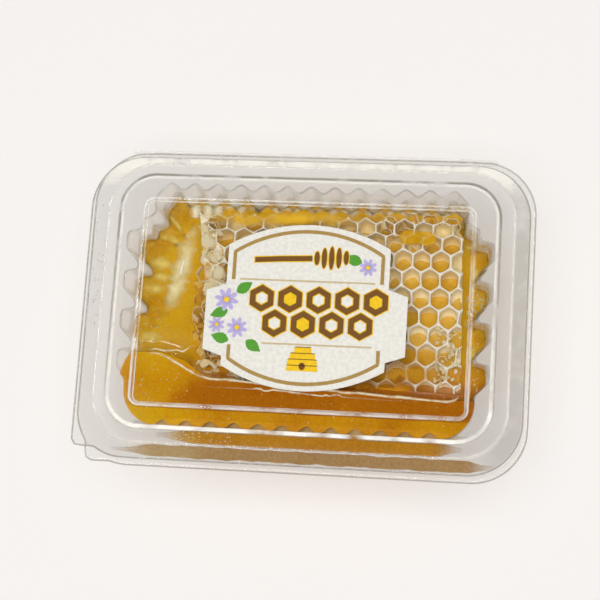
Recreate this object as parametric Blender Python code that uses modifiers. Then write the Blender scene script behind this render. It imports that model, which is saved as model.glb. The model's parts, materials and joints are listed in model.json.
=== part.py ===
# Shut clear pack of cut comb honey: a fluted tray, a hinged lid with a paper
# label, a slab of comb and the honey round it. Metres, +Z up. The pack lies on
# its tray, the hinge is at the back (+Y) and the opening tabs are at the front
# left corner.
import math

import bmesh
import bpy
from mathutils import Vector

MM = 0.001

# Sheet plastic and clearances
SHEET = 0.6 * MM
GAP = 0.3 * MM

# Outlines seen from above: low x, high x, low y, high y, corner radius
TRAY_FLANGE = (-63.6 * MM, 64.2 * MM, -46.6 * MM, 44.5 * MM, 15.0 * MM)
TRAY_TAB = (-60.4 * MM, -40.0 * MM, -45.8 * MM, -28.0 * MM, 1.6 * MM)
LID_FLANGE = (-64.4 * MM, 63.0 * MM, -45.0 * MM, 43.0 * MM, 15.0 * MM)
LID_TAB = (-64.4 * MM, -44.0 * MM, -42.2 * MM, -20.0 * MM, 1.6 * MM)

# Tray
FLANGE_TOP = 27.0 * MM
FLANGE_LIP = 1.5 * MM            # the flange's edge turns down by this much
LIP_FLARE = 0.4 * MM
FLOOR_INSET = 4.8 * MM           # draft of the wall from rim to floor
WALL_FOOT_INSET = 3.5 * MM
WALL_FOOT_TOP = 3.6 * MM
FLOOR_PANEL = (-41.0 * MM, 41.0 * MM, -25.0 * MM, 25.0 * MM, 9.0 * MM)
FLOOR_PANEL_RISE = 0.9 * MM
PANEL_BEVEL = 1.0 * MM
FOOT_TRIM = 0.05 * MM            # cut off below, so that the foot is flat

# Flutes of the tray's rim
SPINE_X = 36.0 * MM              # the outlines fan out round this inner box
SPINE_Y = 19.0 * MM
LONG_CREST_Y = 35.7 * MM
LONG_TROUGH_Y = 33.5 * MM
LONG_PITCH = 6.9 * MM
LONG_CREST_FLAT = 1.2 * MM
BACK_CRESTS = 7                  # on one half of the back wall, the middle one shared
FRONT_CRESTS = 6
SHORT_CREST_X = 53.3 * MM
SHORT_TROUGH_X = 49.2 * MM
SHORT_PITCH = 11.7 * MM
SHORT_TOP_Y = 21.4 * MM
SHORT_LOBES = 4
FRONT_CORNER_RADIUS = 9.9 * MM
FRONT_CORNER_STEPS = 7

# Lid, heights of its top surface
LID_FLANGE_Z = FLANGE_TOP + GAP + SHEET
RING_HALF_X = 58.9 * MM
RING_HALF_Y = 40.7 * MM
RING_RADIUS = 13.3 * MM
RING_Z = 29.5 * MM
RING_BATTER = 0.4 * MM
CREST_HALF_X = 54.7 * MM
CREST_HALF_Y = 36.8 * MM
CREST_RADIUS = 10.0 * MM
CREST_Z = 31.6 * MM
PLATEAU_HALF_X = 48.2 * MM
PLATEAU_HALF_Y = 30.5 * MM
PLATEAU_Z = 31.3 * MM
PANEL_HALF_X = 47.4 * MM
PANEL_HALF_Y = 29.7 * MM
PANEL_RADIUS = 2.2 * MM
PANEL_Z = 29.7 * MM
CORNER_STEPS = 9

# Hinge along the back edge
HINGE_Y = 44.5 * MM
HINGE_Z = FLANGE_TOP + GAP / 2
BEAD_RADIUS = 1.1 * MM
BEAD_END_RADIUS = 0.85 * MM
BEAD_HALF_LENGTH = 53.4 * MM
BEAD_SHOULDER = 46.5 * MM
BEAD_SIDES = 12

# Paper label on the lid's panel
LABEL_CENTRE = (0.9 * MM, -0.2 * MM)
LABEL_THICKNESS = 0.25 * MM
LABEL_HALF_X = 23.4 * MM         # the arched middle
LABEL_SHOULDER_Y = 17.6 * MM
LABEL_TOP_Y = 24.1 * MM
LABEL_WING_X = 29.0 * MM
LABEL_WING_HIGH_Y = 6.0 * MM
LABEL_WING_LOW_Y = -15.0 * MM
LABEL_WING_SLOPE = 1.9 * MM
LABEL_ARC_STEPS = 10

# Slab of comb
COMB_BOTTOM = FLOOR_PANEL_RISE + SHEET + GAP
COMB_TOP = 24.5 * MM
COMB_CORNERS = ((-33.5, 28.4), (42.0, 28.4), (44.7, 24.6), (46.2, -22.5), (-18.0, -22.5),
                (-28.5, -5.0))
COMB_DRAFT = 2.4 * MM            # the slab narrows towards the floor
COMB_EDGE_STEP = 3.4 * MM
COMB_EDGE_WAVE = 0.35 * MM

# Cells, their long way along Y
CELL_PITCH_X = 5.5 * MM
CELL_PITCH_Y = 5.45 * MM
CELL_WALL = 0.6 * MM
CELL_STRETCH = 1.145
CELL_COLUMNS = 17
CELL_ROWS = 11
CELL_ORIGIN = (-38.6 * MM, -22.4 * MM)
CELL_LEAST_INSIDE = -1.5 * MM    # cells centred just outside the edge still notch it
CELL_DEEPEST = 7.0 * MM
CELL_SHALLOWEST = 1.2 * MM
CRUSHED_X = -17.0 * MM           # left of this the comb is capped and crushed
CRUSHED_DEPTH = 0.8 * MM

# Honey: where its surface meets the lid, and how the surface falls behind that line
CONTACT_LINE = ((-64.0, -14.6), (-40.5, -15.1), (-33.0, -17.3), (-26.8, -21.7),
                (-18.0, -21.9), (14.0, -23.8), (45.0, -25.1), (64.0, -25.3))
SURFACE_FALL = ((-60.0, 34.0), (0.0, 34.0), (0.6, 27.4), (2.0, 24.2), (5.0, 21.3),
                (10.0, 18.6), (20.0, 15.6), (70.0, 12.6))
SPILL_LOW_X = -52.0 * MM         # the honey over the rim ends at these sides
SPILL_HIGH_X = 50.5 * MM
SPILL_EDGE = 0.5 * MM
BELOW_RIM = 25.5 * MM
SURFACE_STATIONS = (-60.0, -45.0, -40.5, -36.5, -33.0, -30.0, -26.8, -18.0, 0.0, 14.0, 30.0,
                    45.0, 60.0)

# Colours: red, green, blue, alpha, roughness
COLOURS = {
    "tray": (0.84, 0.84, 0.82, 0.25, 0.08),
    "lid": (0.86, 0.86, 0.85, 0.25, 0.08),
    "label": (0.93, 0.91, 0.86, 1.0, 0.45),
    "comb": (0.80, 0.62, 0.30, 1.0, 0.50),
    "honey": (0.72, 0.36, 0.01, 0.85, 0.05),
}


def clear_scene():
    for item in list(bpy.data.objects):
        bpy.data.objects.remove(item, do_unlink=True)


def make_collections():
    parts = bpy.data.collections.new("comb_honey_pack")
    cutters = bpy.data.collections.new("cutters")
    for collection in (parts, cutters):
        bpy.context.scene.collection.children.link(collection)
    return parts, cutters


def centre_pack(parts, cutters):
    """Hangs everything on an empty that brings the pack's outline over the origin."""
    low_x = LID_FLANGE[0]
    high_x = TRAY_FLANGE[1] + LIP_FLARE
    low_y = TRAY_FLANGE[2] - LIP_FLARE
    high_y = HINGE_Y + BEAD_RADIUS
    pack = add_object("pack", None, parts)
    pack.location = (-(low_x + high_x) / 2, -(low_y + high_y) / 2, 0.0)
    for collection in (parts, cutters):
        for item in collection.objects:
            if item != pack and item.parent is None:
                item.parent = pack


def make_material(name):
    red, green, blue, alpha, roughness = COLOURS[name]
    material = bpy.data.materials.new(name)
    material.use_nodes = True
    shader = material.node_tree.nodes["Principled BSDF"]
    shader.inputs["Base Color"].default_value = (red, green, blue, 1.0)
    shader.inputs["Roughness"].default_value = roughness
    shader.inputs["Metallic"].default_value = 0.0
    shader.inputs["Alpha"].default_value = alpha
    return material


def add_object(name, data, collection):
    item = bpy.data.objects.new(name, data)
    collection.objects.link(item)
    return item


def hide_cutter(item):
    item.hide_render = True
    item.display_type = "WIRE"


def add_boolean(item, operation, other):
    boolean = item.modifiers.new(operation.lower(), "BOOLEAN")
    boolean.operation = operation
    boolean.solver = "EXACT"
    boolean.object = other


def add_thickness(item):
    """Thickens a skin away from its normals."""
    solidify = item.modifiers.new("sheet", "SOLIDIFY")
    solidify.thickness = SHEET
    solidify.offset = -1.0
    solidify.use_even_offset = True
    solidify.use_quality_normals = True


def grown(box, amount):
    low_x, high_x, low_y, high_y, radius = box
    return (low_x - amount, high_x + amount, low_y - amount, high_y + amount, radius + amount)


def centred(half_x, half_y, radius):
    return (-half_x, half_x, -half_y, half_y, radius)


def edge_distance(x, y, boxes):
    """How far a point is outside the union of rounded boxes, negative inside."""
    nearest = math.inf
    for low_x, high_x, low_y, high_y, radius in boxes:
        away_x = abs(x - (low_x + high_x) / 2) - ((high_x - low_x) / 2 - radius)
        away_y = abs(y - (low_y + high_y) / 2) - ((high_y - low_y) / 2 - radius)
        outside = math.hypot(max(away_x, 0.0), max(away_y, 0.0))
        nearest = min(nearest, outside + min(max(away_x, away_y), 0.0) - radius)
    return nearest


def spine_point(x, y):
    return (max(-SPINE_X, min(SPINE_X, x)), max(-SPINE_Y, min(SPINE_Y, y)))


def meet_outline(x, y, boxes):
    """Follows the ray from the spine through a rim point to an outline."""
    from_x, from_y = spine_point(x, y)
    length = math.hypot(x - from_x, y - from_y)
    step_x, step_y = (x - from_x) / length, (y - from_y) / length
    near, far = 0.0, 0.1
    for _ in range(40):
        middle = (near + far) / 2
        if edge_distance(from_x + middle * step_x, from_y + middle * step_y, boxes) > 0.0:
            far = middle
        else:
            near = middle
    return (from_x + near * step_x, from_y + near * step_y)


def draw_in(x, y, inset):
    """Moves a rim point towards the spine."""
    from_x, from_y = spine_point(x, y)
    keep = 1.0 - inset / math.hypot(x - from_x, y - from_y)
    return (from_x + keep * (x - from_x), from_y + keep * (y - from_y))


def rim_outline():
    """The fluted rim, clockwise from the middle of the back wall."""
    flat = LONG_CREST_FLAT / 2
    half = []
    for crest in range(BACK_CRESTS):
        x = crest * LONG_PITCH
        if crest:
            half.append((x - LONG_PITCH / 2, LONG_TROUGH_Y))
            half.append((x - flat, LONG_CREST_Y))
        half.append((x + flat, LONG_CREST_Y))
    # One small flute turns the back corner
    half += [(45.4 * MM, 32.2 * MM), (46.0 * MM, 29.8 * MM), (45.4 * MM, 27.0 * MM)]
    half += [(46.9 * MM, 25.5 * MM), (48.8 * MM, 25.2 * MM)]
    # Side lobes: a steep back side, a flat face and a slanted front side
    for lobe in range(SHORT_LOBES):
        y = SHORT_TOP_Y - lobe * SHORT_PITCH
        half.append((SHORT_TROUGH_X, y + 0.5 * MM))
        half.append((SHORT_CREST_X - 0.6 * MM, y - 0.2 * MM))
        half.append((SHORT_CREST_X, y - 1.2 * MM))
        half.append((SHORT_CREST_X, y - 5.6 * MM))
        half.append((SHORT_TROUGH_X + 0.4 * MM, y - 9.3 * MM))
    # Plain round front corner
    centre_x = SHORT_TROUGH_X + 0.3 * MM - FRONT_CORNER_RADIUS
    centre_y = -LONG_CREST_Y + FRONT_CORNER_RADIUS
    for step in range(FRONT_CORNER_STEPS):
        angle = math.radians(8.0 + 78.0 * step / (FRONT_CORNER_STEPS - 1))
        half.append((centre_x + FRONT_CORNER_RADIUS * math.cos(angle),
                     centre_y - FRONT_CORNER_RADIUS * math.sin(angle)))
    for crest in reversed(range(FRONT_CRESTS)):
        x = crest * LONG_PITCH
        half.append((x + LONG_PITCH / 2, -LONG_TROUGH_Y))
        half.append((x + flat, -LONG_CREST_Y))
        if crest:
            half.append((x - flat, -LONG_CREST_Y))
    return half + [(-x, y) for x, y in reversed(half)]


def at_height(outline, z):
    return [Vector((x, y, z)) for x, y in outline]


def rounded_ring(box, z, steps=CORNER_STEPS):
    """A rounded rectangle, clockwise from the back right corner."""
    low_x, high_x, low_y, high_y, radius = box
    centres = ((high_x - radius, high_y - radius), (high_x - radius, low_y + radius),
               (low_x + radius, low_y + radius), (low_x + radius, high_y - radius))
    points = []
    for corner, (x, y) in enumerate(centres):
        for step in range(steps):
            angle = math.radians(90.0 * (1 - corner) - 90.0 * step / (steps - 1))
            points.append(Vector((x + radius * math.cos(angle), y + radius * math.sin(angle), z)))
    return points


def loft(name, rings, close_first, collection, origin=Vector((0.0, 0.0, 0.0))):
    """Joins rings of equal length by quads and fills the last one, facing up."""
    build = bmesh.new()
    rows = [[build.verts.new(point - origin) for point in ring] for ring in rings]
    count = len(rows[0])
    for row, next_row in zip(rows, rows[1:]):
        for index in range(count):
            after = (index + 1) % count
            build.faces.new((row[index], row[after], next_row[after], next_row[index]))
    build.faces.new(rows[-1])
    if close_first:
        build.faces.new(list(reversed(rows[0])))
    bmesh.ops.recalc_face_normals(build, faces=build.faces)
    build.faces.ensure_lookup_table()
    build.normal_update()
    cap = build.faces[(len(rows) - 1) * count]
    if not close_first and cap.normal.z < 0.0:
        bmesh.ops.reverse_faces(build, faces=build.faces)
    mesh = bpy.data.meshes.new(name)
    build.to_mesh(mesh)
    build.free()
    return add_object(name, mesh, collection)


def make_bead(cutters):
    """The folded hinge: a bar with thinner ends, turned about the hinge axis."""
    profile = [(-BEAD_HALF_LENGTH, 0.0), (-BEAD_HALF_LENGTH, BEAD_END_RADIUS),
               (-BEAD_SHOULDER, BEAD_END_RADIUS), (-BEAD_SHOULDER + MM, BEAD_RADIUS),
               (BEAD_SHOULDER - MM, BEAD_RADIUS), (BEAD_SHOULDER, BEAD_END_RADIUS),
               (BEAD_HALF_LENGTH, BEAD_END_RADIUS), (BEAD_HALF_LENGTH, 0.0)]
    mesh = bpy.data.meshes.new("hinge_bead")
    mesh.from_pydata([(x, 0.0, radius) for x, radius in profile],
                     [(index, index + 1) for index in range(len(profile) - 1)], [])
    bead = add_object("hinge_bead", mesh, cutters)
    bead.location = (0.0, HINGE_Y, HINGE_Z)
    screw = bead.modifiers.new("turn", "SCREW")
    screw.axis = "X"
    screw.steps = BEAD_SIDES
    screw.render_steps = BEAD_SIDES
    screw.use_merge_vertices = True
    screw.merge_threshold = 0.00001
    screw.use_normal_calculate = True
    hide_cutter(bead)
    return bead


def make_ground_cutter(cutters):
    """A block standing on the ground, which trims the tray's foot flat."""
    build = bmesh.new()
    bmesh.ops.create_cube(build, size=0.2)
    bmesh.ops.translate(build, verts=build.verts, vec=(0.0, 0.0, 0.1))
    mesh = bpy.data.meshes.new("ground_cutter")
    build.to_mesh(mesh)
    build.free()
    cutter = add_object("ground_cutter", mesh, cutters)
    hide_cutter(cutter)
    return cutter


def make_tray(rim, parts, cutters):
    """Flange with a turned-down lip, fluted wall and raised floor panel."""
    flange = (TRAY_FLANGE, TRAY_TAB)
    lip = [grown(box, LIP_FLARE) for box in flange]
    foot = [grown(FLOOR_PANEL, PANEL_BEVEL)]
    floor = SHEET - FOOT_TRIM
    rings = [
        at_height([meet_outline(x, y, lip) for x, y in rim], FLANGE_TOP - FLANGE_LIP),
        at_height([meet_outline(x, y, flange) for x, y in rim], FLANGE_TOP),
        at_height(rim, FLANGE_TOP),
        at_height([draw_in(x, y, WALL_FOOT_INSET) for x, y in rim], WALL_FOOT_TOP),
        at_height([draw_in(x, y, FLOOR_INSET) for x, y in rim], floor),
        at_height([meet_outline(x, y, foot) for x, y in rim], floor),
        at_height([meet_outline(x, y, [FLOOR_PANEL]) for x, y in rim], floor + FLOOR_PANEL_RISE),
    ]
    tray = loft("tray", rings, False, parts)
    add_thickness(tray)
    add_boolean(tray, "UNION", make_bead(cutters))
    add_boolean(tray, "INTERSECT", make_ground_cutter(cutters))
    return tray


def lid_edge(z):
    """The lid's outline, its front left corner squared into the opening tab."""
    ring = rounded_ring(LID_FLANGE, z)
    tab_left, _, tab_low, _, tab_radius = LID_TAB
    front = LID_FLANGE[2]
    turn_x, turn_y = tab_left + tab_radius, tab_low + tab_radius
    corner = [(-49.5 * MM, front), (-52.5 * MM, front + 0.6 * MM), (-55.0 * MM, front + 2.2 * MM),
              (-57.5 * MM, tab_low), (turn_x, tab_low)]
    for angle in (240.0, 210.0, 180.0):
        corner.append((turn_x + tab_radius * math.cos(math.radians(angle)),
                       turn_y + tab_radius * math.sin(math.radians(angle))))
    corner.append((tab_left, -30.0 * MM))
    first = 2 * CORNER_STEPS
    ring[first:first + CORNER_STEPS] = [Vector((x, y, z)) for x, y in corner]
    return ring


def make_lid(parts):
    """Flat flange, a step, a sloping shoulder, a plateau and a sunk panel."""
    ring = centred(RING_HALF_X, RING_HALF_Y, RING_RADIUS)
    crest = centred(CREST_HALF_X, CREST_HALF_Y, CREST_RADIUS)
    plateau = centred(PLATEAU_HALF_X, PLATEAU_HALF_Y, PANEL_RADIUS + 0.8 * MM)
    panel = centred(PANEL_HALF_X, PANEL_HALF_Y, PANEL_RADIUS)
    rings = [
        lid_edge(LID_FLANGE_Z),
        rounded_ring(grown(ring, RING_BATTER), LID_FLANGE_Z),
        rounded_ring(ring, RING_Z),
        rounded_ring(grown(crest, 0.3 * MM), CREST_Z - 0.15 * MM),
        rounded_ring(grown(crest, -0.4 * MM), CREST_Z),
        rounded_ring(plateau, PLATEAU_Z),
        rounded_ring(panel, PANEL_Z),
    ]
    hinge = Vector((0.0, HINGE_Y, HINGE_Z))
    lid = loft("lid", rings, False, parts, hinge)
    lid.location = hinge
    add_thickness(lid)
    return lid


def arch(half_x, shoulder_y, crown_y, steps):
    """Points of a circular arch from right to left."""
    rise = crown_y - shoulder_y
    radius = (half_x ** 2 + rise ** 2) / (2 * rise)
    reach = math.asin(half_x / radius)
    points = []
    for step in range(steps + 1):
        angle = reach - 2 * reach * step / steps
        points.append((radius * math.sin(angle), crown_y - radius + radius * math.cos(angle)))
    return points


def make_label(lid, parts):
    """A plaque with arched ends and a straight wing at each side."""
    top = arch(LABEL_HALF_X, LABEL_SHOULDER_Y, LABEL_TOP_Y, LABEL_ARC_STEPS)
    left = [(-LABEL_HALF_X, LABEL_WING_HIGH_Y),
            (-LABEL_WING_X, LABEL_WING_HIGH_Y - LABEL_WING_SLOPE),
            (-LABEL_WING_X, LABEL_WING_LOW_Y + LABEL_WING_SLOPE),
            (-LABEL_HALF_X, LABEL_WING_LOW_Y)]
    bottom = [(-x, -y) for x, y in top]
    right = [(-x, y) for x, y in reversed(left)]
    outline = top + left + bottom + right
    curve = bpy.data.curves.new("label", "CURVE")
    curve.dimensions = "2D"
    curve.fill_mode = "BOTH"
    curve.extrude = LABEL_THICKNESS / 2
    spline = curve.splines.new("POLY")
    spline.points.add(len(outline) - 1)
    for point, (x, y) in zip(spline.points, outline):
        point.co = (x, y, 0.0, 1.0)
    spline.use_cyclic_u = True
    label = add_object("label", curve, parts)
    label.parent = lid
    label.location = (LABEL_CENTRE[0], LABEL_CENTRE[1] - HINGE_Y,
                      PANEL_Z + GAP + LABEL_THICKNESS / 2 - HINGE_Z)
    return label


def comb_corners(growth):
    """The slab's corners, each side moved out by growth."""
    corners = [Vector((x * MM, y * MM)) for x, y in COMB_CORNERS]
    moved = []
    for index, corner in enumerate(corners):
        before = (corner - corners[index - 1]).normalized()
        after = (corners[(index + 1) % len(corners)] - corner).normalized()
        outward = Vector((-before.y - after.y, before.x + after.x))
        moved.append(corner + outward * (growth / (1.0 + before.dot(after))))
    return moved


def comb_outline(growth):
    """The slab's uneven outline, clockwise, moved out by growth."""
    nominal = comb_corners(0.0)
    corners = comb_corners(growth)
    points = []
    for index, start in enumerate(corners):
        following = (index + 1) % len(corners)
        along = corners[following] - start
        steps = round((nominal[following] - nominal[index]).length / COMB_EDGE_STEP)
        outward = Vector((-along.y, along.x)).normalized()
        for step in range(steps):
            wave = COMB_EDGE_WAVE * math.sin(2.4 * step) if step else 0.0
            points.append(start + along * (step / steps) + outward * wave)
    return [(point.x, point.y) for point in points]


def inside_distance(x, y):
    """How far a point lies inside the slab's straight-sided outline."""
    corners = comb_corners(0.0)
    nearest = math.inf
    for start, end in zip(corners, corners[1:] + corners[:1]):
        along = (end - start).normalized()
        nearest = min(nearest, along.y * (x - start.x) - along.x * (y - start.y))
    return nearest


def cell_unevenness(column, row):
    """A repeatable value from 0 to 1 for each cell."""
    return math.sin(12.9898 * column + 78.233 * row) * 43758.5453 % 1.0


def cell_depth(x, y, column, row):
    """Honey fills the cells higher towards the front."""
    if x < CRUSHED_X - 0.25 * (y + 22.0 * MM):
        return CRUSHED_DEPTH * (0.5 + cell_unevenness(column, row))
    towards_front = (28.0 * MM - y) / (50.0 * MM)
    fall = CELL_DEEPEST + (CELL_SHALLOWEST - CELL_DEEPEST) * towards_front
    return fall * (0.55 + 0.6 * cell_unevenness(column, row))


def make_cell_cutter(cutters):
    """Six-sided prisms in staggered rows, one for each open cell."""
    build = bmesh.new()
    radius = (CELL_PITCH_X - CELL_WALL) / math.sqrt(3.0)
    above = 2.0 * MM
    for row in range(CELL_ROWS):
        for column in range(CELL_COLUMNS):
            x = CELL_ORIGIN[0] + (column + 0.5 * (row % 2)) * CELL_PITCH_X
            y = CELL_ORIGIN[1] + row * CELL_PITCH_Y
            if inside_distance(x, y) < CELL_LEAST_INSIDE:
                continue
            depth = cell_depth(x, y, column, row)
            cell = bmesh.ops.create_cone(build, cap_ends=True, segments=6, radius1=radius,
                                         radius2=radius, depth=depth + above)["verts"]
            bmesh.ops.scale(build, verts=cell, vec=(1.0, CELL_STRETCH, 1.0))
            bmesh.ops.translate(build, verts=cell, vec=(x, y, COMB_TOP + (above - depth) / 2))
    mesh = bpy.data.meshes.new("cell_cutter")
    build.to_mesh(mesh)
    build.free()
    cutter = add_object("cell_cutter", mesh, cutters)
    hide_cutter(cutter)
    return cutter


def make_comb(parts, cutters):
    """A slab with open cells, its edges cut through some of them."""
    rings = [
        at_height(comb_outline(-COMB_DRAFT), COMB_BOTTOM),
        at_height(comb_outline(-0.3 * MM), COMB_TOP - 1.2 * MM),
        at_height(comb_outline(-0.6 * MM), COMB_TOP),
    ]
    comb = loft("comb", rings, True, parts)
    add_boolean(comb, "DIFFERENCE", make_cell_cutter(cutters))
    return comb


def contact_y(x):
    """Where the honey leaves the underside of the lid, read along the contact line."""
    for (start_x, start_y), (end_x, end_y) in zip(CONTACT_LINE, CONTACT_LINE[1:]):
        if x <= end_x * MM:
            share = (x / MM - start_x) / (end_x - start_x)
            return (start_y + share * (end_y - start_y)) * MM
    return CONTACT_LINE[-1][1] * MM


def make_honey_level(cutters):
    """Everything below the honey's surface: a grid of heights closed underneath."""
    stations = [(x * MM, False) for x in SURFACE_STATIONS if SPILL_LOW_X < x * MM < SPILL_HIGH_X]
    stations += [(SPILL_LOW_X, False), (SPILL_HIGH_X, False)]
    stations += [(x, True) for x in (SURFACE_STATIONS[0] * MM, SPILL_LOW_X - SPILL_EDGE,
                                     SPILL_HIGH_X + SPILL_EDGE, SURFACE_STATIONS[-1] * MM)]
    rings = []
    for x, beside in sorted(stations):
        ceiling = BELOW_RIM if beside else math.inf
        top = [Vector((x, contact_y(x) + behind * MM, min(z * MM, ceiling)))
               for behind, z in SURFACE_FALL]
        rings.append([Vector((x, top[0].y, -MM))] + top + [Vector((x, top[-1].y, -MM))])
    level = loft("honey_level", rings, True, cutters)
    hide_cutter(level)
    return level


def make_honey(rim, parts, cutters):
    """Fills the tray round the comb and, at the front, the space under the lid."""
    foot = [grown(FLOOR_PANEL, PANEL_BEVEL + GAP)]
    panel_edge = [grown(FLOOR_PANEL, GAP)]
    floor = SHEET + GAP
    over_flange = [grown(centred(RING_HALF_X, RING_HALF_Y, RING_RADIUS), -1.1 * MM)]
    under_crest = [grown(centred(CREST_HALF_X, CREST_HALF_Y, CREST_RADIUS), -0.6 * MM)]
    step_out = [grown(centred(PLATEAU_HALF_X, PLATEAU_HALF_Y, PANEL_RADIUS), 1.3 * MM)]
    step_in = [grown(centred(PANEL_HALF_X, PANEL_HALF_Y, PANEL_RADIUS), 0.9 * MM)]
    below_plateau = PLATEAU_Z - SHEET - GAP
    below_panel = PANEL_Z - SHEET - GAP
    shapes = [
        ([meet_outline(x, y, panel_edge) for x, y in rim], floor + FLOOR_PANEL_RISE),
        ([meet_outline(x, y, foot) for x, y in rim], floor),
        ([draw_in(x, y, FLOOR_INSET + GAP) for x, y in rim], floor),
        ([draw_in(x, y, WALL_FOOT_INSET + 0.4 * MM) for x, y in rim], WALL_FOOT_TOP + 0.1 * MM),
        ([draw_in(x, y, 0.4 * MM) for x, y in rim], FLANGE_TOP + GAP),
        ([meet_outline(x, y, over_flange) for x, y in rim], FLANGE_TOP + GAP),
        ([meet_outline(x, y, over_flange) for x, y in rim], RING_Z - SHEET - 0.4 * MM),
        ([meet_outline(x, y, under_crest) for x, y in rim], below_plateau),
        ([meet_outline(x, y, step_out) for x, y in rim], below_plateau),
        ([meet_outline(x, y, step_in) for x, y in rim], below_panel),
    ]
    honey = loft("honey", [at_height(outline, z) for outline, z in shapes], True, parts)
    column = loft("comb_column", [at_height(comb_outline(GAP - COMB_DRAFT), -MM),
                                  at_height(comb_outline(GAP - COMB_DRAFT), COMB_BOTTOM),
                                  at_height(comb_outline(GAP), COMB_TOP - 1.2 * MM),
                                  at_height(comb_outline(GAP), 40.0 * MM)], True, cutters)
    hide_cutter(column)
    add_boolean(honey, "INTERSECT", make_honey_level(cutters))
    add_boolean(honey, "DIFFERENCE", column)
    return honey


def main():
    clear_scene()
    parts, cutters = make_collections()
    rim = rim_outline()
    tray = make_tray(rim, parts, cutters)
    lid = make_lid(parts)
    label = make_label(lid, parts)
    comb = make_comb(parts, cutters)
    honey = make_honey(rim, parts, cutters)
    for item in (tray, lid, label, comb, honey):
        item.data.materials.append(make_material(item.name))
    centre_pack(parts, cutters)


main()
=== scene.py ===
import json
import math
import random

import bmesh
import bpy
from mathutils import Matrix, Vector, noise


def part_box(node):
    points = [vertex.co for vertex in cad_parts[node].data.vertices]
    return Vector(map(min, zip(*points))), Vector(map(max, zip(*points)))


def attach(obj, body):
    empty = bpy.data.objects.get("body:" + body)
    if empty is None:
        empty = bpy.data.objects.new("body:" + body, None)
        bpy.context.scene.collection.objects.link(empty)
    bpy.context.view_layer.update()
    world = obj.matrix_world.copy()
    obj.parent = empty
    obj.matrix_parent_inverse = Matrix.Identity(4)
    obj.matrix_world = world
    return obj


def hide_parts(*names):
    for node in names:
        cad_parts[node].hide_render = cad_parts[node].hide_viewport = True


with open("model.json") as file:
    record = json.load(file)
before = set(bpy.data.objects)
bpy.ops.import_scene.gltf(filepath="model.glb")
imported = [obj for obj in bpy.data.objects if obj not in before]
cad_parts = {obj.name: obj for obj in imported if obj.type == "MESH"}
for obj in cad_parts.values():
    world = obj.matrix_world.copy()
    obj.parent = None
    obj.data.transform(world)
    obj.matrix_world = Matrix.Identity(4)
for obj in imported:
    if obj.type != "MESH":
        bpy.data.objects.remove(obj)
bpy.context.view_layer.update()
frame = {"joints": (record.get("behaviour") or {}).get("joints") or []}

mm = 0.001
hinge = Vector(frame["joints"][0]["pos_m"])
lidLow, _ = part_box("lid")

# The drawing's middle is the middle of the lid, which the frame places
lidLeft, hingeBack = 64.4, 44.5         # from the drawing's middle, in millimetres
middle = Vector((lidLow.x + lidLeft * mm, hinge.y - hingeBack * mm, 0.0))


# Numbers and points

def mix(first, second, share):
    return first + share * (second - first)


def mixPoints(first, second, share):
    return tuple(mix(a, b, share) for a, b in zip(first, second))


def clamp(value, low=0.0, high=1.0):
    return max(low, min(high, value))


# Grows from 0 to 1 past a zone's start, over its width
def growth(value, zone):
    return clamp((value - zone[0]) / zone[1])


def unevenAt(x, y, pitch, layer):
    return noise.noise((x * pitch, y * pitch, layer))


def roundSteps(sides):
    angles = [math.tau * side / sides for side in range(sides)]
    return [(math.cos(angle), math.sin(angle)) for angle in angles]


def middleOf(ring):
    return tuple(sum(point[axis] for point in ring) / len(ring) for axis in (0, 1))


def atHeight(outline, z):
    return [(x, y, z) for x, y in outline]


def roundCorner(before, knot, after, reachIn, reachOut, steps):
    start = mixPoints(knot, before, reachIn / math.dist(before, knot))
    end = mixPoints(knot, after, reachOut / math.dist(knot, after))
    shares = [step / steps for step in range(steps + 1)]
    return [mixPoints(mixPoints(start, knot, share), mixPoints(knot, end, share), share) for share in shares]


# Rounds each corner of a line of knots, leaving steps + 1 points at each
def filletPath(knots, radii, steps):
    path = [knots[0]]
    for before, knot, after, radius in zip(knots, knots[1:], knots[2:], radii):
        reach = min(radius, 0.48 * math.dist(before, knot), 0.48 * math.dist(knot, after))
        path += [knot] if reach < 0.001 else roundCorner(before, knot, after, reach, reach, steps)
    return path + [knots[-1]]


# Each point of a path with the unit step to its left
def sidesteps(path):
    steps = []
    for index, (x, y) in enumerate(path):
        before, after = path[max(index - 1, 0)], path[min(index + 1, len(path) - 1)]
        alongX, alongY = after[0] - before[0], after[1] - before[1]
        length = math.hypot(alongX, alongY)
        steps.append((x, y, -alongY / length, alongX / length))
    return steps


# A box is lowX, highX, lowY, highY and the radius of its corners
def grow(box, amount):
    lowX, highX, lowY, highY, radius = box
    return (lowX - amount, highX + amount, lowY - amount, highY + amount, radius + amount)


def centredBox(halfX, halfY, radius):
    return (-halfX, halfX, -halfY, halfY, radius)


def outsideBoxes(x, y, boxes):
    nearest = math.inf
    for lowX, highX, lowY, highY, radius in boxes:
        awayX = abs(x - (lowX + highX) / 2) - ((highX - lowX) / 2 - radius)
        awayY = abs(y - (lowY + highY) / 2) - ((highY - lowY) / 2 - radius)
        away = math.hypot(max(awayX, 0.0), max(awayY, 0.0))
        nearest = min(nearest, away + min(max(awayX, awayY), 0.0) - radius)
    return nearest


def meetBoxes(fromX, fromY, towardsX, towardsY, boxes):
    length = math.hypot(towardsX - fromX, towardsY - fromY)
    stepX, stepY = (towardsX - fromX) / length, (towardsY - fromY) / length
    near, far = 0.0, 90.0
    for _ in range(32):
        half = (near + far) / 2
        if outsideBoxes(fromX + half * stepX, fromY + half * stepY, boxes) > 0.0:
            far = half
        else:
            near = half
    return (fromX + near * stepX, fromY + near * stepY)


# Mesh helpers, in millimetres from the drawing's middle

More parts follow.
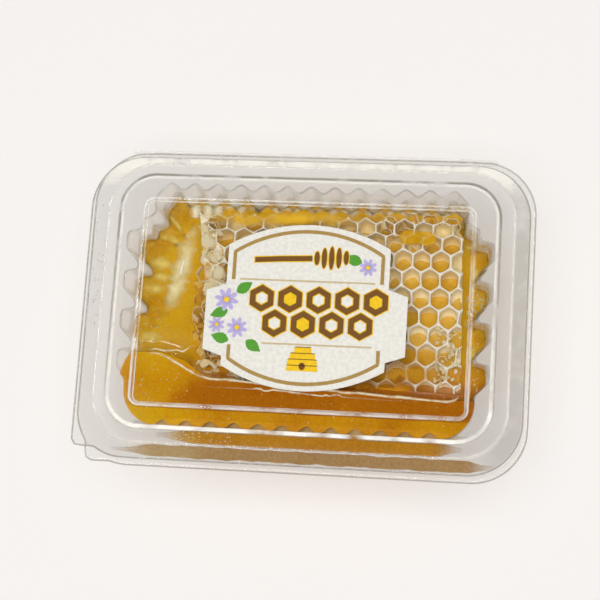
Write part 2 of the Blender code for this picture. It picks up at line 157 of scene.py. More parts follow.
def meshFrom(name, points, faces, smooth=True):
    mesh = bpy.data.meshes.new(name)
    mesh.from_pydata([(x * mm, y * mm, z * mm) for x, y, z in points], [], faces)
    mesh.validate()
    mesh.update()
    mesh.polygons.foreach_set("use_smooth", [smooth] * len(mesh.polygons))
    return mesh


def addObject(name, data, place):
    item = bpy.data.objects.new(name, data)
    bpy.context.scene.collection.objects.link(item)
    item.location = place
    return item


def addPiece(name, mesh, body, slotName, material, *nodes):
    piece = addObject(name, mesh, middle)
    mesh.materials.append(material)
    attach(piece, body)
    if nodes:
        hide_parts(*nodes)
    return piece


def ringFaces(ringCount, pointCount, closeFirst=False, closeLast=False):
    faces = []
    for ring in range(ringCount - 1):
        here, there = ring * pointCount, (ring + 1) * pointCount
        for index in range(pointCount):
            after = (index + 1) % pointCount
            faces.append((here + index, here + after, there + after, there + index))
    if closeFirst:
        faces.append(tuple(reversed(range(pointCount))))
    if closeLast:
        faces.append(tuple(range((ringCount - 1) * pointCount, ringCount * pointCount)))
    return faces


def gridFaces(rows, lanes):
    return [(corner, corner + 1, corner + lanes + 1, corner + lanes)
            for row in range(rows - 1) for corner in range(row * lanes, (row + 1) * lanes - 1)]


def loft(rings, closeFirst=True, closeLast=True):
    points = [point for ring in rings for point in ring]
    return points, ringFaces(len(rings), len(rings[0]), closeFirst, closeLast)


def joined(parts):
    points, faces = [], []
    for partPoints, partFaces in parts:
        start = len(points)
        points += partPoints
        faces += [tuple(index + start for index in face) for face in partFaces]
    return points, faces


def turnOutward(mesh):
    build = bmesh.new()
    build.from_mesh(mesh)
    bmesh.ops.recalc_face_normals(build, faces=build.faces)
    build.to_mesh(mesh)
    build.free()


def sharpen(mesh, degrees):
    mesh.polygons.foreach_set("use_smooth", [True] * len(mesh.polygons))
    mesh.set_sharp_from_angle(angle=math.radians(degrees))


def setValues(mesh, name, values):
    layer = mesh.attributes.new(name, "FLOAT", "POINT")
    layer.data.foreach_set("value", values)


# A closed mesh of one or more parts; edges sharper than the angle stay sharp
def solidMesh(name, parts, degrees=None):
    mesh = meshFrom(name, *joined(parts))
    turnOutward(mesh)
    if degrees is not None:
        sharpen(mesh, degrees)
    return mesh


def applyModifiers(piece):
    done = bpy.data.meshes.new_from_object(piece.evaluated_get(bpy.context.evaluated_depsgraph_get()))
    piece.modifiers.clear()
    old = piece.data
    done.name = old.name
    piece.data = done
    bpy.data.meshes.remove(old)


def cutWith(piece, cutterMesh, operation):
    cutter = addObject(cutterMesh.name, cutterMesh, middle)
    cut = piece.modifiers.new(cutterMesh.name, "BOOLEAN")
    cut.operation = operation
    cut.solver = "MANIFOLD"
    cut.object = cutter
    bpy.context.view_layer.update()
    applyModifiers(piece)
    bpy.data.objects.remove(cutter)
    bpy.data.meshes.remove(cutterMesh)


# Materials

# Adds a node: the settings are its own properties, and sockets gives its inputs values or links
def addNode(tree, kind, sockets=None, **settings):
    node = tree.nodes.new("ShaderNode" + kind)
    for name, value in settings.items():
        setattr(node, name, value)
    for name, value in (sockets or {}).items():
        if isinstance(value, bpy.types.NodeSocket):
            tree.links.new(value, node.inputs[name])
        else:
            node.inputs[name].default_value = (*value, 1.0) if isinstance(value, tuple) else value
    return node


def rampBetween(tree, value, limits, kind="SMOOTHSTEP"):
    return addNode(tree, "MapRange", {"Value": value, "From Min": limits[0], "From Max": limits[1]},
                   interpolation_type=kind).outputs["Result"]


def mathOf(tree, operation, *values, clamped=False):
    return addNode(tree, "Math", dict(enumerate(values)), operation=operation, use_clamp=clamped).outputs[0]


def mixColours(tree, share, first, second, blend="MIX"):
    return addNode(tree, "Mix", {"Factor": share, "A": first, "B": second},
                   data_type="RGBA", blend_type=blend).outputs["Result"]


def mixShaders(tree, share, first, second):
    return addNode(tree, "MixShader", {"Fac": share, 1: first, 2: second}).outputs[0]


def objectPlace(tree):
    return addNode(tree, "TexCoord").outputs["Object"]


def noiseOf(tree, size, detail=2.0, place=None):
    place = objectPlace(tree) if place is None else place
    return addNode(tree, "TexNoise", {"Vector": place, "Scale": size, "Detail": detail}).outputs["Fac"]


def pointValues(tree, name):
    return addNode(tree, "Attribute", attribute_name=name).outputs["Fac"]


def shaderOf(tree, kind, sockets=None):
    return addNode(tree, kind, sockets).outputs[0]


def newMaterial(name):
    material = bpy.data.materials.new(name)
    material.use_nodes = True
    material.node_tree.nodes.clear()
    return material, material.node_tree


def newGroup(name, inputs, inputKind, output, outputKind):
    group = bpy.data.node_groups.new(name, "ShaderNodeTree")
    for socket in inputs:
        group.interface.new_socket(socket, in_out="INPUT", socket_type="NodeSocket" + inputKind)
    group.interface.new_socket(output, in_out="OUTPUT", socket_type="NodeSocket" + outputKind)
    return group, group.nodes.new("NodeGroupInput").outputs


def closeGroup(group, value):
    group.links.new(value, group.nodes.new("NodeGroupOutput").inputs[0])
    return group


def makeWaveGroup():
    group, entry = newGroup("surfaceWave", ("Size", "Height"), "Float", "Normal", "Vector")
    bump = addNode(group, "Bump", {"Distance": 0.001, "Strength": entry["Height"],
                                   "Height": noiseOf(group, entry["Size"])})
    return closeGroup(group, bump.outputs["Normal"])


waveGroup = makeWaveGroup()


def waveNormal(tree, look):
    return addNode(tree, "Group", {"Size": look["waveSize"], "Height": look["waveHeight"]},
                   node_tree=waveGroup).outputs["Normal"]


# Rises towards grazing views, alike on both sides of a sheet
def grazing(tree, power):
    facing = addNode(tree, "LayerWeight", {"Blend": 0.5}).outputs["Facing"]
    return mathOf(tree, "POWER", facing, power)


# A mirroring skin over another shader; gloss is the share mirrored straight on
def glossOver(tree, under, look):
    sockets = {"Roughness": look["roughness"]}
    if "waveSize" in look:
        sockets["Normal"] = waveNormal(tree, look)
    share = mathOf(tree, "MULTIPLY_ADD", grazing(tree, 5.0), 1.0 - look["gloss"], look["gloss"])
    return mixShaders(tree, share, under, shaderOf(tree, "BsdfGlossy", sockets))


plasticLook = {
    "tint": (0.984, 0.982, 0.977),
    "edgeTint": (0.95, 0.935, 0.895),
    "edgePower": 3.0,
    "gloss": 0.04,
    "roughness": 0.03,
    "waveSize": 22.0,
    "waveHeight": 0.02,
    # Painted highlight and painted shade for the sheet's creases: pale and dark lines where the clear
    # plastic's bends would catch light and dark surroundings
    "paintedCreaseHighlight": (0.96, 0.93, 0.86),
    "paintedCreaseShade": (0.30, 0.27, 0.22),
    "creaseFleck": 140.0,
    "creaseUneven": (0.2, 0.6),
}


def makeClearPlastic(name, look):
    material, tree = newMaterial(name)
    tint = mixColours(tree, grazing(tree, look["edgePower"]), look["tint"], look["edgeTint"])
    surface = glossOver(tree, shaderOf(tree, "BsdfTransparent", {"Color": tint}), look)
    uneven = rampBetween(tree, noiseOf(tree, look["creaseFleck"]), look["creaseUneven"])
    # Lays the painted crease shade and the painted crease highlight over the clear sheet as flecked diffuse
    # colour
    for crease in ("paintedCreaseShade", "paintedCreaseHighlight"):
        cover = mathOf(tree, "MULTIPLY", pointValues(tree, crease), uneven)
        surface = mixShaders(tree, cover, surface, shaderOf(tree, "BsdfDiffuse", {"Color": look[crease]}))
    addNode(tree, "OutputMaterial", {"Surface": surface})
    return material


# The sheets' cut edges are painted dark grey-brown: painted shade for the dark line that refraction draws
# along the edge of clear plastic
cutEdgeShadeLook = {
    "colour": (0.34, 0.31, 0.27),
    "solid": 0.75,
    "roughness": 0.12,
    "waveSize": 400.0,
    "waveHeight": 0.2,
}


# The colour is plain, or a function below that paints it in nodes
def makePaint(name, colour, look):
    material, tree = newMaterial(name)
    paint = colour if isinstance(colour, tuple) else colour(tree, look)
    addNode(tree, "OutputMaterial", {"Surface": shaderOf(tree, "BsdfPrincipled", {
        "Base Color": paint, "Roughness": look["roughness"], "Alpha": look["solid"],
        "Normal": waveNormal(tree, look)})})
    return material


honeyLook = {
    "light": (1.0, 0.56, 0.008),        # shallow honey, behind the contact line
    "middle": (0.90, 0.41, 0.004),
    "deep": (0.60, 0.17, 0.001),        # the full depth under the lid
    "density": 120.0,
    "passes": (0.955, 0.82, 0.02),
    "cloud": 0.62,
    "gloss": 0.04,
    "roughness": 0.05,
    "grain": 1300.0,
    "grainDepth": 0.45,
}
honeyDepths = {
    "deepFrom": (-0.040, -0.018),       # along X, in metres from the middle
    "shallowFrom": (-0.024, -0.008),    # along Y
    "shelfBy": (-0.0315, -0.0300),      # over the rim the honey is shallow again
    "leftDepth": 0.5,
    "rightDepth": 0.55,
    "shelfDepth": 0.45,
    "swirlSize": 60.0,
    "swirlDepth": 1.1,
}


def makeHoneyToneGroup(look):
    group, entry = newGroup("honeyTone", ("Light", "Middle", "Deep"), "Color", "Color", "Color")
    place = objectPlace(group)
    split = addNode(group, "SeparateXYZ", {0: place}).outputs
    front = mathOf(group, "SUBTRACT", 1.0, rampBetween(group, split["Y"], look["shallowFrom"]))
    right = rampBetween(group, split["X"], look["deepFrom"])
    shelf = mathOf(group, "SUBTRACT", 1.0, rampBetween(group, split["Y"], look["shelfBy"]))
    swirl = mathOf(group, "SUBTRACT", noiseOf(group, look["swirlSize"], 3.0, place), 0.5)
    reach = mathOf(group, "MULTIPLY", front,
                   mathOf(group, "MULTIPLY_ADD", right, look["rightDepth"], look["leftDepth"]))
    reach = mathOf(group, "SUBTRACT", reach, mathOf(group, "MULTIPLY", shelf, look["shelfDepth"]))
    tone = mathOf(group, "ADD", reach, mathOf(group, "MULTIPLY", swirl, look["swirlDepth"]), clamped=True)
    lower = mixColours(group, rampBetween(group, tone, (0.0, 0.5)), entry["Light"], entry["Middle"])
    upper = mixColours(group, rampBetween(group, tone, (0.5, 1.0)), lower, entry["Deep"])
    return closeGroup(group, upper)


honeyToneGroup = makeHoneyToneGroup(honeyDepths)


def makeHoney(name, look):
    material, tree = newMaterial(name)
    clear = shaderOf(tree, "BsdfTransparent")
    tone = addNode(tree, "Group", {"Light": look["light"], "Middle": look["middle"], "Deep": look["deep"]},
                   node_tree=honeyToneGroup).outputs["Color"]
    speckle = mixColours(tree, look["grainDepth"], tone, noiseOf(tree, look["grain"], 4.0), "OVERLAY")
    body = mixShaders(tree, look["cloud"], clear, shaderOf(tree, "BsdfDiffuse", {"Color": speckle}))
    faded = mixShaders(tree, pointValues(tree, "thin"), glossOver(tree, body, look), clear)
    absorb = shaderOf(tree, "VolumeAbsorption", {"Color": look["passes"], "Density": look["density"]})
    addNode(tree, "OutputMaterial", {"Surface": faded, "Volume": absorb})
    return material


waxLook = {
    "rim": (0.95, 0.90, 0.78),
    "deep": (0.87, 0.71, 0.37),
    "heights": (0.0205, 0.0243),        # where it is all deep and all rim
    "roughness": 0.30,
    "waveSize": 700.0,                  # the size of the grain too
    "waveHeight": 0.25,
    "patchy": 0.2,
    "solid": 1.0,
}
flakeLook = {**waxLook, "rim": (0.97, 0.84, 0.54), "deep": (0.88, 0.54, 0.10), "heights": (0.0224, 0.0243),
             "roughness": 0.14, "waveSize": 420.0, "patchy": 0.55, "solid": 0.78}


# Paler towards the cells' rims
def waxColour(tree, look):
    place = addNode(tree, "NewGeometry").outputs["Position"]
    height = addNode(tree, "SeparateXYZ", {0: place}).outputs["Z"]
    tone = mixColours(tree, rampBetween(tree, height, look["heights"], "LINEAR"), look["deep"], look["rim"])
    return mixColours(tree, look["patchy"], tone, noiseOf(tree, look["waveSize"], 3.0, place), "OVERLAY")


paperLook = {
    "colour": (0.86, 0.84, 0.78),
    "fibre": 900.0,
    "shades": (0.93, 1.05),             # the darkest and brightest fibres
    "roughness": 0.45,
    "waveSize": 1200.0,
    "waveHeight": 0.05,
    "solid": 1.0,
}


def paperColour(tree, look):
    dark, bright = (tuple(min(1.0, shade * part) for part in look["colour"]) for shade in look["shades"])
    fibre = rampBetween(tree, noiseOf(tree, look["fibre"], 5.0), (0.3, 0.7))
    return mixColours(tree, fibre, dark, bright)


clearPlastic = makeClearPlastic("clearPlastic", plasticLook)
cutEdgeShade = makePaint("cutEdgePaintedShade", cutEdgeShadeLook["colour"], cutEdgeShadeLook)
honeyMaterial = makeHoney("honeyAmber", honeyLook)
waxMaterial = makePaint("combWax", waxColour, waxLook)
flakeMaterial = makePaint("flakeWax", waxColour, flakeLook)
paperMaterial = makePaint("labelPaper", paperColour, paperLook)
print("materials made")


def thicken(piece, sheet):
    piece.data.materials.append(cutEdgeShade)
    thickness = piece.modifiers.new("sheet", "SOLIDIFY")
    thickness.thickness = sheet * mm
    thickness.offset = -1.0
    # The cut edge faces get the painted edge shade
    thickness.material_offset_rim = 1
    applyModifiers(piece)


# Tray

trayShape = {
    "flange": (-63.6, 64.2, -46.6, 44.5, 15.0),
    "tab": (-60.4, -40.0, -45.8, -28.0, 1.6),
    "flangeTop": 27.0,
    "lip": 1.5,
    "lipFlare": 0.4,
    "footInset": 3.5,
    "footTop": 3.6,
    "floorInset": 4.8,
    "floor": 0.55,
    "panel": (-41.0, 41.0, -25.0, 25.0, 9.0),
    "panelFoot": 1.0,
    "panelInner": 2.0,
    "panelRise": 0.9,
    "sheet": 0.45,
    "fluteRound": 1.1,
    "fluteSteps": 3,
    "fillets": (0.35, 0.6, 2.0, 1.2, 0.5, 0.5),
    "filletSteps": 3,
    # Painted shade lines along the flutes' outline, and painted highlights along the flange's bend
    "paintedCreaseShades": {6: 0.32, 7: 0.14},  # strength on each level of the profile
    "paintedCreaseHighlights": {2: 0.25, 3: 0.25},
}
spineHalf = (36.0, 19.0)


# Every ray outward starts from a box in the middle of the tray
def spinePoint(x, y):
    return (clamp(x, -spineHalf[0], spineHalf[0]), clamp(y, -spineHalf[1], spineHalf[1]))


def drawIn(x, y, inset):
    fromX, fromY = spinePoint(x, y)
    keep = 1.0 - inset / math.hypot(x - fromX, y - fromY)
    return (fromX + keep * (x - fromX), fromY + keep * (y - fromY))


fluteShape = {
    "crestY": 35.7,
    "troughY": 33.5,
    "pitch": 6.9,
    "flat": 1.2,
    "backCrests": 7,
    "frontCrests": 6,
    "backCorner": [(45.4, 32.2), (46.0, 29.8), (45.4, 27.0), (46.9, 25.5), (48.8, 25.2)],
    "lobe": ((49.2, 0.5), (52.7, -0.2), (53.3, -1.2), (53.3, -5.6), (49.6, -9.3)),  # x, and y from its top
    "lobePitch": 11.7,
    "lobeTopY": 21.4,
    "lobes": 4,
    "cornerX": 39.6,
    "cornerRadius": 9.9,
    "cornerAngles": (8.0, 86.0),
    "cornerSteps": 7,
}


def halfRim(shape):
    flat, crestY, radius = shape["flat"] / 2, shape["crestY"], shape["cornerRadius"]
    half = []
    for crest in range(shape["backCrests"]):
        x = crest * shape["pitch"]
        if crest:
            half += [(x - shape["pitch"] / 2, shape["troughY"]), (x - flat, crestY)]
        half.append((x + flat, crestY))
    half += shape["backCorner"]
    for lobe in range(shape["lobes"]):
        y = shape["lobeTopY"] - lobe * shape["lobePitch"]
        half += [(lobeX, y + lobeY) for lobeX, lobeY in shape["lobe"]]
    for step in range(shape["cornerSteps"]):
        angle = math.radians(mix(*shape["cornerAngles"], step / (shape["cornerSteps"] - 1)))
        half.append((shape["cornerX"] + radius * math.cos(angle), radius - crestY - radius * math.sin(angle)))
    for crest in reversed(range(shape["frontCrests"])):
        x = crest * shape["pitch"]
        half += [(x + shape["pitch"] / 2, -shape["troughY"]), (x + flat, -crestY)]
        if crest:
            half.append((x - flat, -crestY))
    return half


rimHalf = halfRim(fluteShape)
rimCorners = rimHalf + [(-x, y) for x, y in reversed(rimHalf)]


def roundedRim(shape):
    rounded = []
    for index, knot in enumerate(rimCorners):
        before, after = rimCorners[index - 1], rimCorners[(index + 1) % len(rimCorners)]
        reachIn = min(shape["fluteRound"], 0.48 * math.dist(before, knot))
        reachOut = min(shape["fluteRound"], 0.48 * math.dist(knot, after))
        rounded += roundCorner(before, knot, after, reachIn, reachOut, shape["fluteSteps"])
    return rounded


rim = roundedRim(trayShape)


def trayPaths(shape):
    flange = [shape["flange"], shape["tab"]]
    lip = [grow(box, shape["lipFlare"]) for box in flange]
    top, floor = shape["flangeTop"], shape["floor"]
    paths = []
    for x, y in rim:
        spine = spinePoint(x, y)
        panelFoot = meetBoxes(*spine, x, y, [grow(shape["panel"], shape["panelFoot"])])
        panelEdge = meetBoxes(*spine, x, y, [shape["panel"]])
        knots = [
            (*meetBoxes(*spine, x, y, lip), top - shape["lip"]),
            (*meetBoxes(*spine, x, y, flange), top),
            (x, y, top),
            (*drawIn(x, y, shape["footInset"]), shape["footTop"]),
            (*drawIn(x, y, shape["floorInset"]), floor),
            (*panelFoot, floor),
            (*panelEdge, floor + shape["panelRise"]),
            (*drawIn(*panelEdge, shape["panelInner"]), floor + shape["panelRise"]),
        ]
        paths.append(filletPath(knots, shape["fillets"], shape["filletSteps"]))
    return paths


# A sheet from rings of points, with its painted crease shade and highlights, and its cut edge in painted
# shade
def makeSheet(name, body, slotName, rings, creases, shape):
    mesh = meshFrom(name, *loft(rings, closeFirst=False))
    for crease, values in creases.items():
        setValues(mesh, crease, values)
    sheet = addPiece(name, mesh, body, slotName, clearPlastic, body)
    thicken(sheet, shape["sheet"])
    sharpen(sheet.data, 50.0)


def makeTray(shape):
    rings = list(zip(*trayPaths(shape)))
    creases = {}
    for crease, strengths in (("paintedCreaseShade", shape["paintedCreaseShades"]), ("paintedCreaseHighlight", shape["paintedCreaseHighlights"])):
        creases[crease] = [strengths.get(level, 0.0) for level, ring in enumerate(rings) for _ in ring]
    makeSheet("trayShell", "tray", "clear_tray", rings, creases, shape)


makeTray(trayShape)
print("tray made")


# Lid

lidShape = {
    "flange": (-64.4, 63.0, -45.0, 43.0, 15.0),
    "tab": (-64.4, -44.0, -42.2, -20.0, 1.6),
    "ring": centredBox(58.9, 40.7, 13.3),
    "crest": centredBox(54.7, 36.8, 10.0),
    "plateau": centredBox(48.2, 30.5, 3.0),
    "panel": centredBox(47.4, 29.7, 2.2),
    "flangeZ": 27.9,
    "ringZ": 29.5,
    "crestZ": 31.6,
    "plateauZ": 31.3,
    "panelZ": 29.7,
    "profile": (("flange", 0.1, "flangeZ", -0.4), ("flange", 0.0, "flangeZ", 0.0),
                ("ring", 0.4, "flangeZ", 0.0), ("ring", 0.0, "ringZ", 0.0),
                ("crest", 0.3, "crestZ", -0.15), ("crest", -0.9, "crestZ", 0.0),
                ("plateau", 0.0, "plateauZ", 0.0), ("panel", 0.0, "panelZ", 0.0),
                ("panel", -1.5, "panelZ", 0.0)),  # each knot's box, its growth, its height and its rise
    "fillets": (0.3, 0.7, 0.7, 0.8, 1.0, 0.8, 0.7),
    "sheet": 0.45,
    "cornerSteps": 24,
    "filletSteps": 4,
    # Painted shade and painted highlight lines on the lid's creases; brighter painted highlights along the
    # front crest, a painted highlight over the back flange and a painted shadow on the right flange
    "paintedCreaseShades": {3: 0.30, 8: 0.25, 17: 0.70, 18: 0.80, 19: 0.55},  # strength on each level of the profile
    "paintedCreaseHighlights": {7: 0.35, 13: 0.55, 21: 0.55, 22: 0.55, 28: 0.55, 32: 0.30, 33: 0.75, 34: 0.30},
    "backFlangeHighlight": {5: 0.75, 6: 0.75},
    "rightFlangeShadow": {5: 0.16, 6: 0.16},
    "frontCreaseHighlights": {18: 0.2, 19: 0.95, 20: 0.95, 21: 0.95, 22: 0.8, 27: 0.6, 29: 0.5, 32: 0.85, 34: 0.7},
    "frontZone": (24.0, 5.0),           # where it starts from the middle, and over what width
    "backZone": (34.0, 6.0),
    "rightShadowZone": (52.0, 6.0),
    "frontClear": 0.7,
}


def boxRing(box, z, steps):
    lowX, highX, lowY, highY, radius = box
    centres = ((highX - radius, highY - radius), (highX - radius, lowY + radius),
               (lowX + radius, lowY + radius), (lowX + radius, highY - radius))
    ring = []
    for corner, (x, y) in enumerate(centres):
        for step in range(steps):
            angle = math.radians(90.0 * (1 - corner) - 90.0 * step / (steps - 1))
            ring.append((x + radius * math.cos(angle), y + radius * math.sin(angle), z))
    return ring


# The lid's opening tab squares off its front left corner
def squareCorner(ring, shape, boxes, z):
    steps = shape["cornerSteps"]
    fromX = shape["ring"][0] + shape["ring"][4]
    fromY = shape["ring"][2] + shape["ring"][4]
    for step in range(steps):
        angle = math.radians(-90.0 - 90.0 * step / (steps - 1))
        reached = meetBoxes(fromX, fromY, fromX + math.cos(angle), fromY + math.sin(angle), boxes)
        ring[2 * steps + step] = (*reached, z)


def makeLid(shape):
    knots = [(*grow(shape[box], out), shape[height] + up) for box, out, height, up in shape["profile"]]
    levels = filletPath(knots, shape["fillets"], shape["filletSteps"])
    flange, edgeLevels = shape["flange"], 2 + shape["filletSteps"]
    rings, dark, pale = [], [], []
    for level, (*box, z) in enumerate(levels):
        ring = boxRing(box, z, shape["cornerSteps"])
        if level < edgeLevels:
            out = flange[0] - box[0]
            squareCorner(ring, shape, [grow(flange, out), grow(shape["tab"], out)], z)
        rings.append(ring)
        # Painted crease shade fades at the front, a painted shadow darkens the right flange, and painted
        # highlights grow at the front and over the back flange
        for x, y, _ in ring:
            front, back = growth(-y, shape["frontZone"]), growth(y, shape["backZone"])
            right = growth(x, shape["rightShadowZone"]) * (1.0 - back)
            dark.append(max(shape["paintedCreaseShades"].get(level, 0.0) * (1.0 - shape["frontClear"] * front),
                            right * shape["rightFlangeShadow"].get(level, 0.0)))
            pale.append(max(shape["paintedCreaseHighlights"].get(level, 0.0),
                            front * shape["frontCreaseHighlights"].get(level, 0.0),
                            back * shape["backFlangeHighlight"].get(level, 0.0)))
    makeSheet("lidShell", "lid", "clear_lid", rings, {"paintedCreaseShade": dark, "paintedCreaseHighlight": pale}, shape)


makeLid(lidShape)
print("lid made")


# Hinge

hingeShape = {
    "turned": ((53.4, 0.3), (53.2, 0.85), (46.5, 0.85), (45.0, 1.1)),  # half length and radius
    "sides": 20,
}


def makeHinge(shape):
    axisY, axisZ = (hinge.y - middle.y) / mm, hinge.z / mm
    stations = [(-x, radius) for x, radius in shape["turned"]] + list(reversed(shape["turned"]))
    rings = [[(x, axisY + radius * across, axisZ + radius * up) for across, up in roundSteps(shape["sides"])]
             for x, radius in stations]
    addPiece("hingeRoll", solidMesh("hingeRoll", [loft(rings)], 50.0), "tray", "clear_tray", clearPlastic)


makeHinge(hingeShape)
print("hinge made")


# Comb

combShape = {
    "corners": ((-33.5, 28.4), (42.0, 28.4), (44.7, 24.6), (46.2, -22.5), (-18.0, -22.5), (-28.5, -5.0)),
    "bottom": 1.8,
    "top": 24.5,
    "sunk": 0.15,
    "swells": ((0.35, 0.12, 1.0), (0.18, 0.9, 2.0)),  # height, pitch and layer of the unevenness
    "draft": 2.4,
    "shoulder": 1.2,
    "shoulderIn": 0.3,
    "edgeStep": 1.1,
    "edgeWave": 0.35,
    "pitchX": 5.5,
    "pitchY": 5.45,
    "stretch": 1.145,
    "roundStretch": 1.12,
    "columns": 19,
    "rows": 14,
    "origin": (-44.1, -27.85),
    "jitter": 0.88,
    "crushed": (-22.5, -0.25),          # left of this line, and its slant
    "crushedDepth": 0.9,
    "depths": (5.5, 2.5),               # of the cells at the back and at the front
    "depthFrom": (28.0, 50.0),
    "squeezeFrom": 21.5,                # the cells at the back are shorter, and whole
    "squeezeBy": 0.7,
    "wall": ((0.0, 0.0, 0.0), (0.10, 0.02, 0.1), (0.20, 0.22, 0.5), (0.16, 0.7, 0.6),
             (0.16, 1.6, 0.7), (0.3, None, 0.9)),  # inset, drop and rounding of each level
    "floor": ((0.9, 0.9, 0.0), (1.8, 1.0, 0.2)),  # inset, rounding and extra depth
    "aboveFloor": (0.7, 0.4),           # of the lowest level, and at least of the others
}


def combEdge(out):
    corners = [Vector(corner) for corner in combShape["corners"]]
    moved = []
    for index, corner in enumerate(corners):
        before = (corner - corners[index - 1]).normalized()
        after = (corners[(index + 1) % len(corners)] - corner).normalized()
        outward = Vector((-before.y - after.y, before.x + after.x))
        moved.append(corner + outward * (out / (1.0 + before.dot(after))))
    return moved


combCorners = combEdge(0.0)


def combOutline(out):
    corners = combEdge(out)
    outline = []
    for index, start in enumerate(corners):
        following = (index + 1) % len(corners)
        along = corners[following] - start
        outward = Vector((-along.y, along.x)).normalized()
        steps = round((combCorners[following] - combCorners[index]).length / combShape["edgeStep"])
        for part in range(steps):
            spot = start + along * (part / steps)
            if part:
                spot = spot + outward * (combShape["edgeWave"] * unevenAt(spot.x, spot.y, 0.25, 3.0))
            outline.append((spot.x, spot.y))
    return outline


# How far inside the slab's outline a point lies
def insideComb(x, y):
    nearest = math.inf
    for start, end in zip(combCorners, combCorners[1:] + combCorners[:1]):
        along = (end - start).normalized()
        nearest = min(nearest, along.y * (x - start.x) - along.x * (y - start.y))
    return nearest


def jittered(x, y, amount):
    shiftX, shiftY = unevenAt(x, y, 0.31, 7.0), noise.noise((x * 0.31 + 50.0, y * 0.31, 9.0))
    y += amount * shiftY
    beyond = max(0.0, y - combShape["squeezeFrom"])
    return (x + amount * shiftX, y - beyond * (1.0 - combShape["squeezeBy"]))


def combTop(x, y):
    z = combShape["top"] - combShape["sunk"]
    for height, pitch, layer in combShape["swells"]:
        z += height * unevenAt(x, y, pitch, layer)
    return z


def isCrushed(x, y):
    line, slant = combShape["crushed"]
    return x < line + slant * y


def towardsFront(y):
    start, length = combShape["depthFrom"]
    return (start - y) / length


def cellList(shape):
    found = []
    radius = shape["pitchX"] / math.sqrt(3.0)
    hexagonSteps = [math.radians(90.0 + 60.0 * corner) for corner in range(6)]
    random.seed(11)
    for row in range(shape["rows"]):
        for column in range(shape["columns"]):
            x = shape["origin"][0] + (column + 0.5 * (row % 2)) * shape["pitchX"]
            y = shape["origin"][1] + row * shape["pitchY"]
            draw = random.random()
            if insideComb(x, y) < -shape["pitchX"]:
                continue
            ring = [jittered(x + radius * math.cos(angle), y + radius * math.sin(angle) * shape["stretch"],
                             shape["jitter"]) for angle in hexagonSteps]
            depth = mix(*shape["depths"], towardsFront(y)) * (0.8 + 0.4 * draw)
            found.append({"x": x, "y": y, "ring": ring, "depth": depth, "draw": draw,
                          "crushed": isCrushed(x, y)})
    return found


cells = cellList(combShape)


# A cell's outline, set in and rounded; no rounding goes outward, so its levels stay apart
def cellRing(cell, inset, rounding):
    centreX, centreY = middleOf(cell["ring"])
    half = combShape["pitchX"] / 2
    points = []
    for corner in range(6):
        first, second = cell["ring"][corner], cell["ring"][(corner + 1) % 6]
        for part in range(4):
            x, y = mixPoints(first, second, part / 4)
            awayX, awayY = x - centreX, y - centreY
            length = math.hypot(awayX, awayY)
            roundLength = min(length, half * math.hypot(awayX, awayY * combShape["roundStretch"]) / length)
            wanted = mix(length, roundLength, rounding) - inset * length / half
            points.append((centreX + awayX * wanted / length, centreY + awayY * wanted / length))
    return points


def cellWalls(shape):
    parts = []
    lowest, others = shape["aboveFloor"]
    for cell in cells:
        depth = shape["crushedDepth"] if cell["crushed"] else cell["depth"]
        levels = []
        for inset, drop, rounding in shape["wall"]:
            drop = max(1.0, depth - lowest) if drop is None else min(drop, depth - others)
            levels.append([(x, y, combTop(x, y) - drop) for x, y in cellRing(cell, inset, rounding)])
        levels += [atHeight(cellRing(cell, inset, rounding), shape["top"] - depth - deeper)
                   for inset, rounding, deeper in shape["floor"]]
        parts.append(loft(levels, closeFirst=False))
    return parts


def makeComb(shape):
    mesh = meshFrom("combWax", *joined(cellWalls(shape)))
    build = bmesh.new()
    build.from_mesh(mesh)
    bmesh.ops.remove_doubles(build, verts=build.verts, dist=0.00002)
    border = [edge for edge in build.edges if edge.is_boundary]
    skirt = bmesh.ops.extrude_edge_only(build, edges=border)["geom"]
    for vert in skirt:
        if isinstance(vert, bmesh.types.BMVert):
            vert.co.z = shape["bottom"] * mm - 0.001
    bmesh.ops.holes_fill(build, edges=[edge for edge in build.edges if edge.is_boundary])
    bmesh.ops.recalc_face_normals(build, faces=build.faces)
    build.to_mesh(mesh)
    build.free()
    comb = addPiece("combSlab", mesh, "tray", "beeswax", waxMaterial, "comb")
    cutWith(comb, solidMesh("combColumn", [loft([
        atHeight(combOutline(-shape["draft"]), shape["bottom"]),
        atHeight(combOutline(-shape["shoulderIn"]), shape["top"] - shape["shoulder"]),
        atHeight(combOutline(-2 * shape["shoulderIn"]), shape["top"] + 3.0)])]), "INTERSECT")
    sharpen(comb.data, 60.0)


makeComb(combShape)
print("comb made")


# Honey

honeyShape = {
    "contact": ((-64.0, -30.0), (-52.5, -27.0), (-50.6, -18.5), (-48.4, -15.4), (-40.5, -15.1),
                (-33.0, -17.3), (-26.8, -21.7), (-18.0, -21.9), (14.0, -23.8), (45.0, -25.1),
                (64.0, -25.3)),
    "fall": ((-60.0, 34.0), (-0.3, 34.0), (0.6, 27.4), (2.0, 24.2), (5.0, 21.3), (10.0, 18.6),
             (20.0, 15.6), (75.0, 12.6)),
    "behindFrom": 2.5,                  # further back the surface is drawn at every millimetre
    "reach": (60, 58),                  # to each side, and behind the contact line
    "intoWall": 0.15,
    "topOut": 0.3,                      # further out above the flange
    "lidStep": (0.6, 0.4),              # outside the lid's step, at its top and foot
    "combGap": 0.05,
    "cutter": (-1.0, 40.0),             # lowest and highest points of what shapes it
    "combClimb": (1.5, 1.3),            # how high the surface climbs, and over what distance
    "wallClimb": (1.0, 1.2),
    "wall": centredBox(50.0, 33.5, 6.0),
    "settled": (0.0, 4.0),
    "ripple": 0.25,
}


def alongLine(line, value):
    for (startX, startY), (endX, endY) in zip(line, line[1:]):
        if value <= endX:
            share = max(0.0, (value - startX) / (endX - startX))
            return startY + share * (endY - startY)
    return line[-1][1]


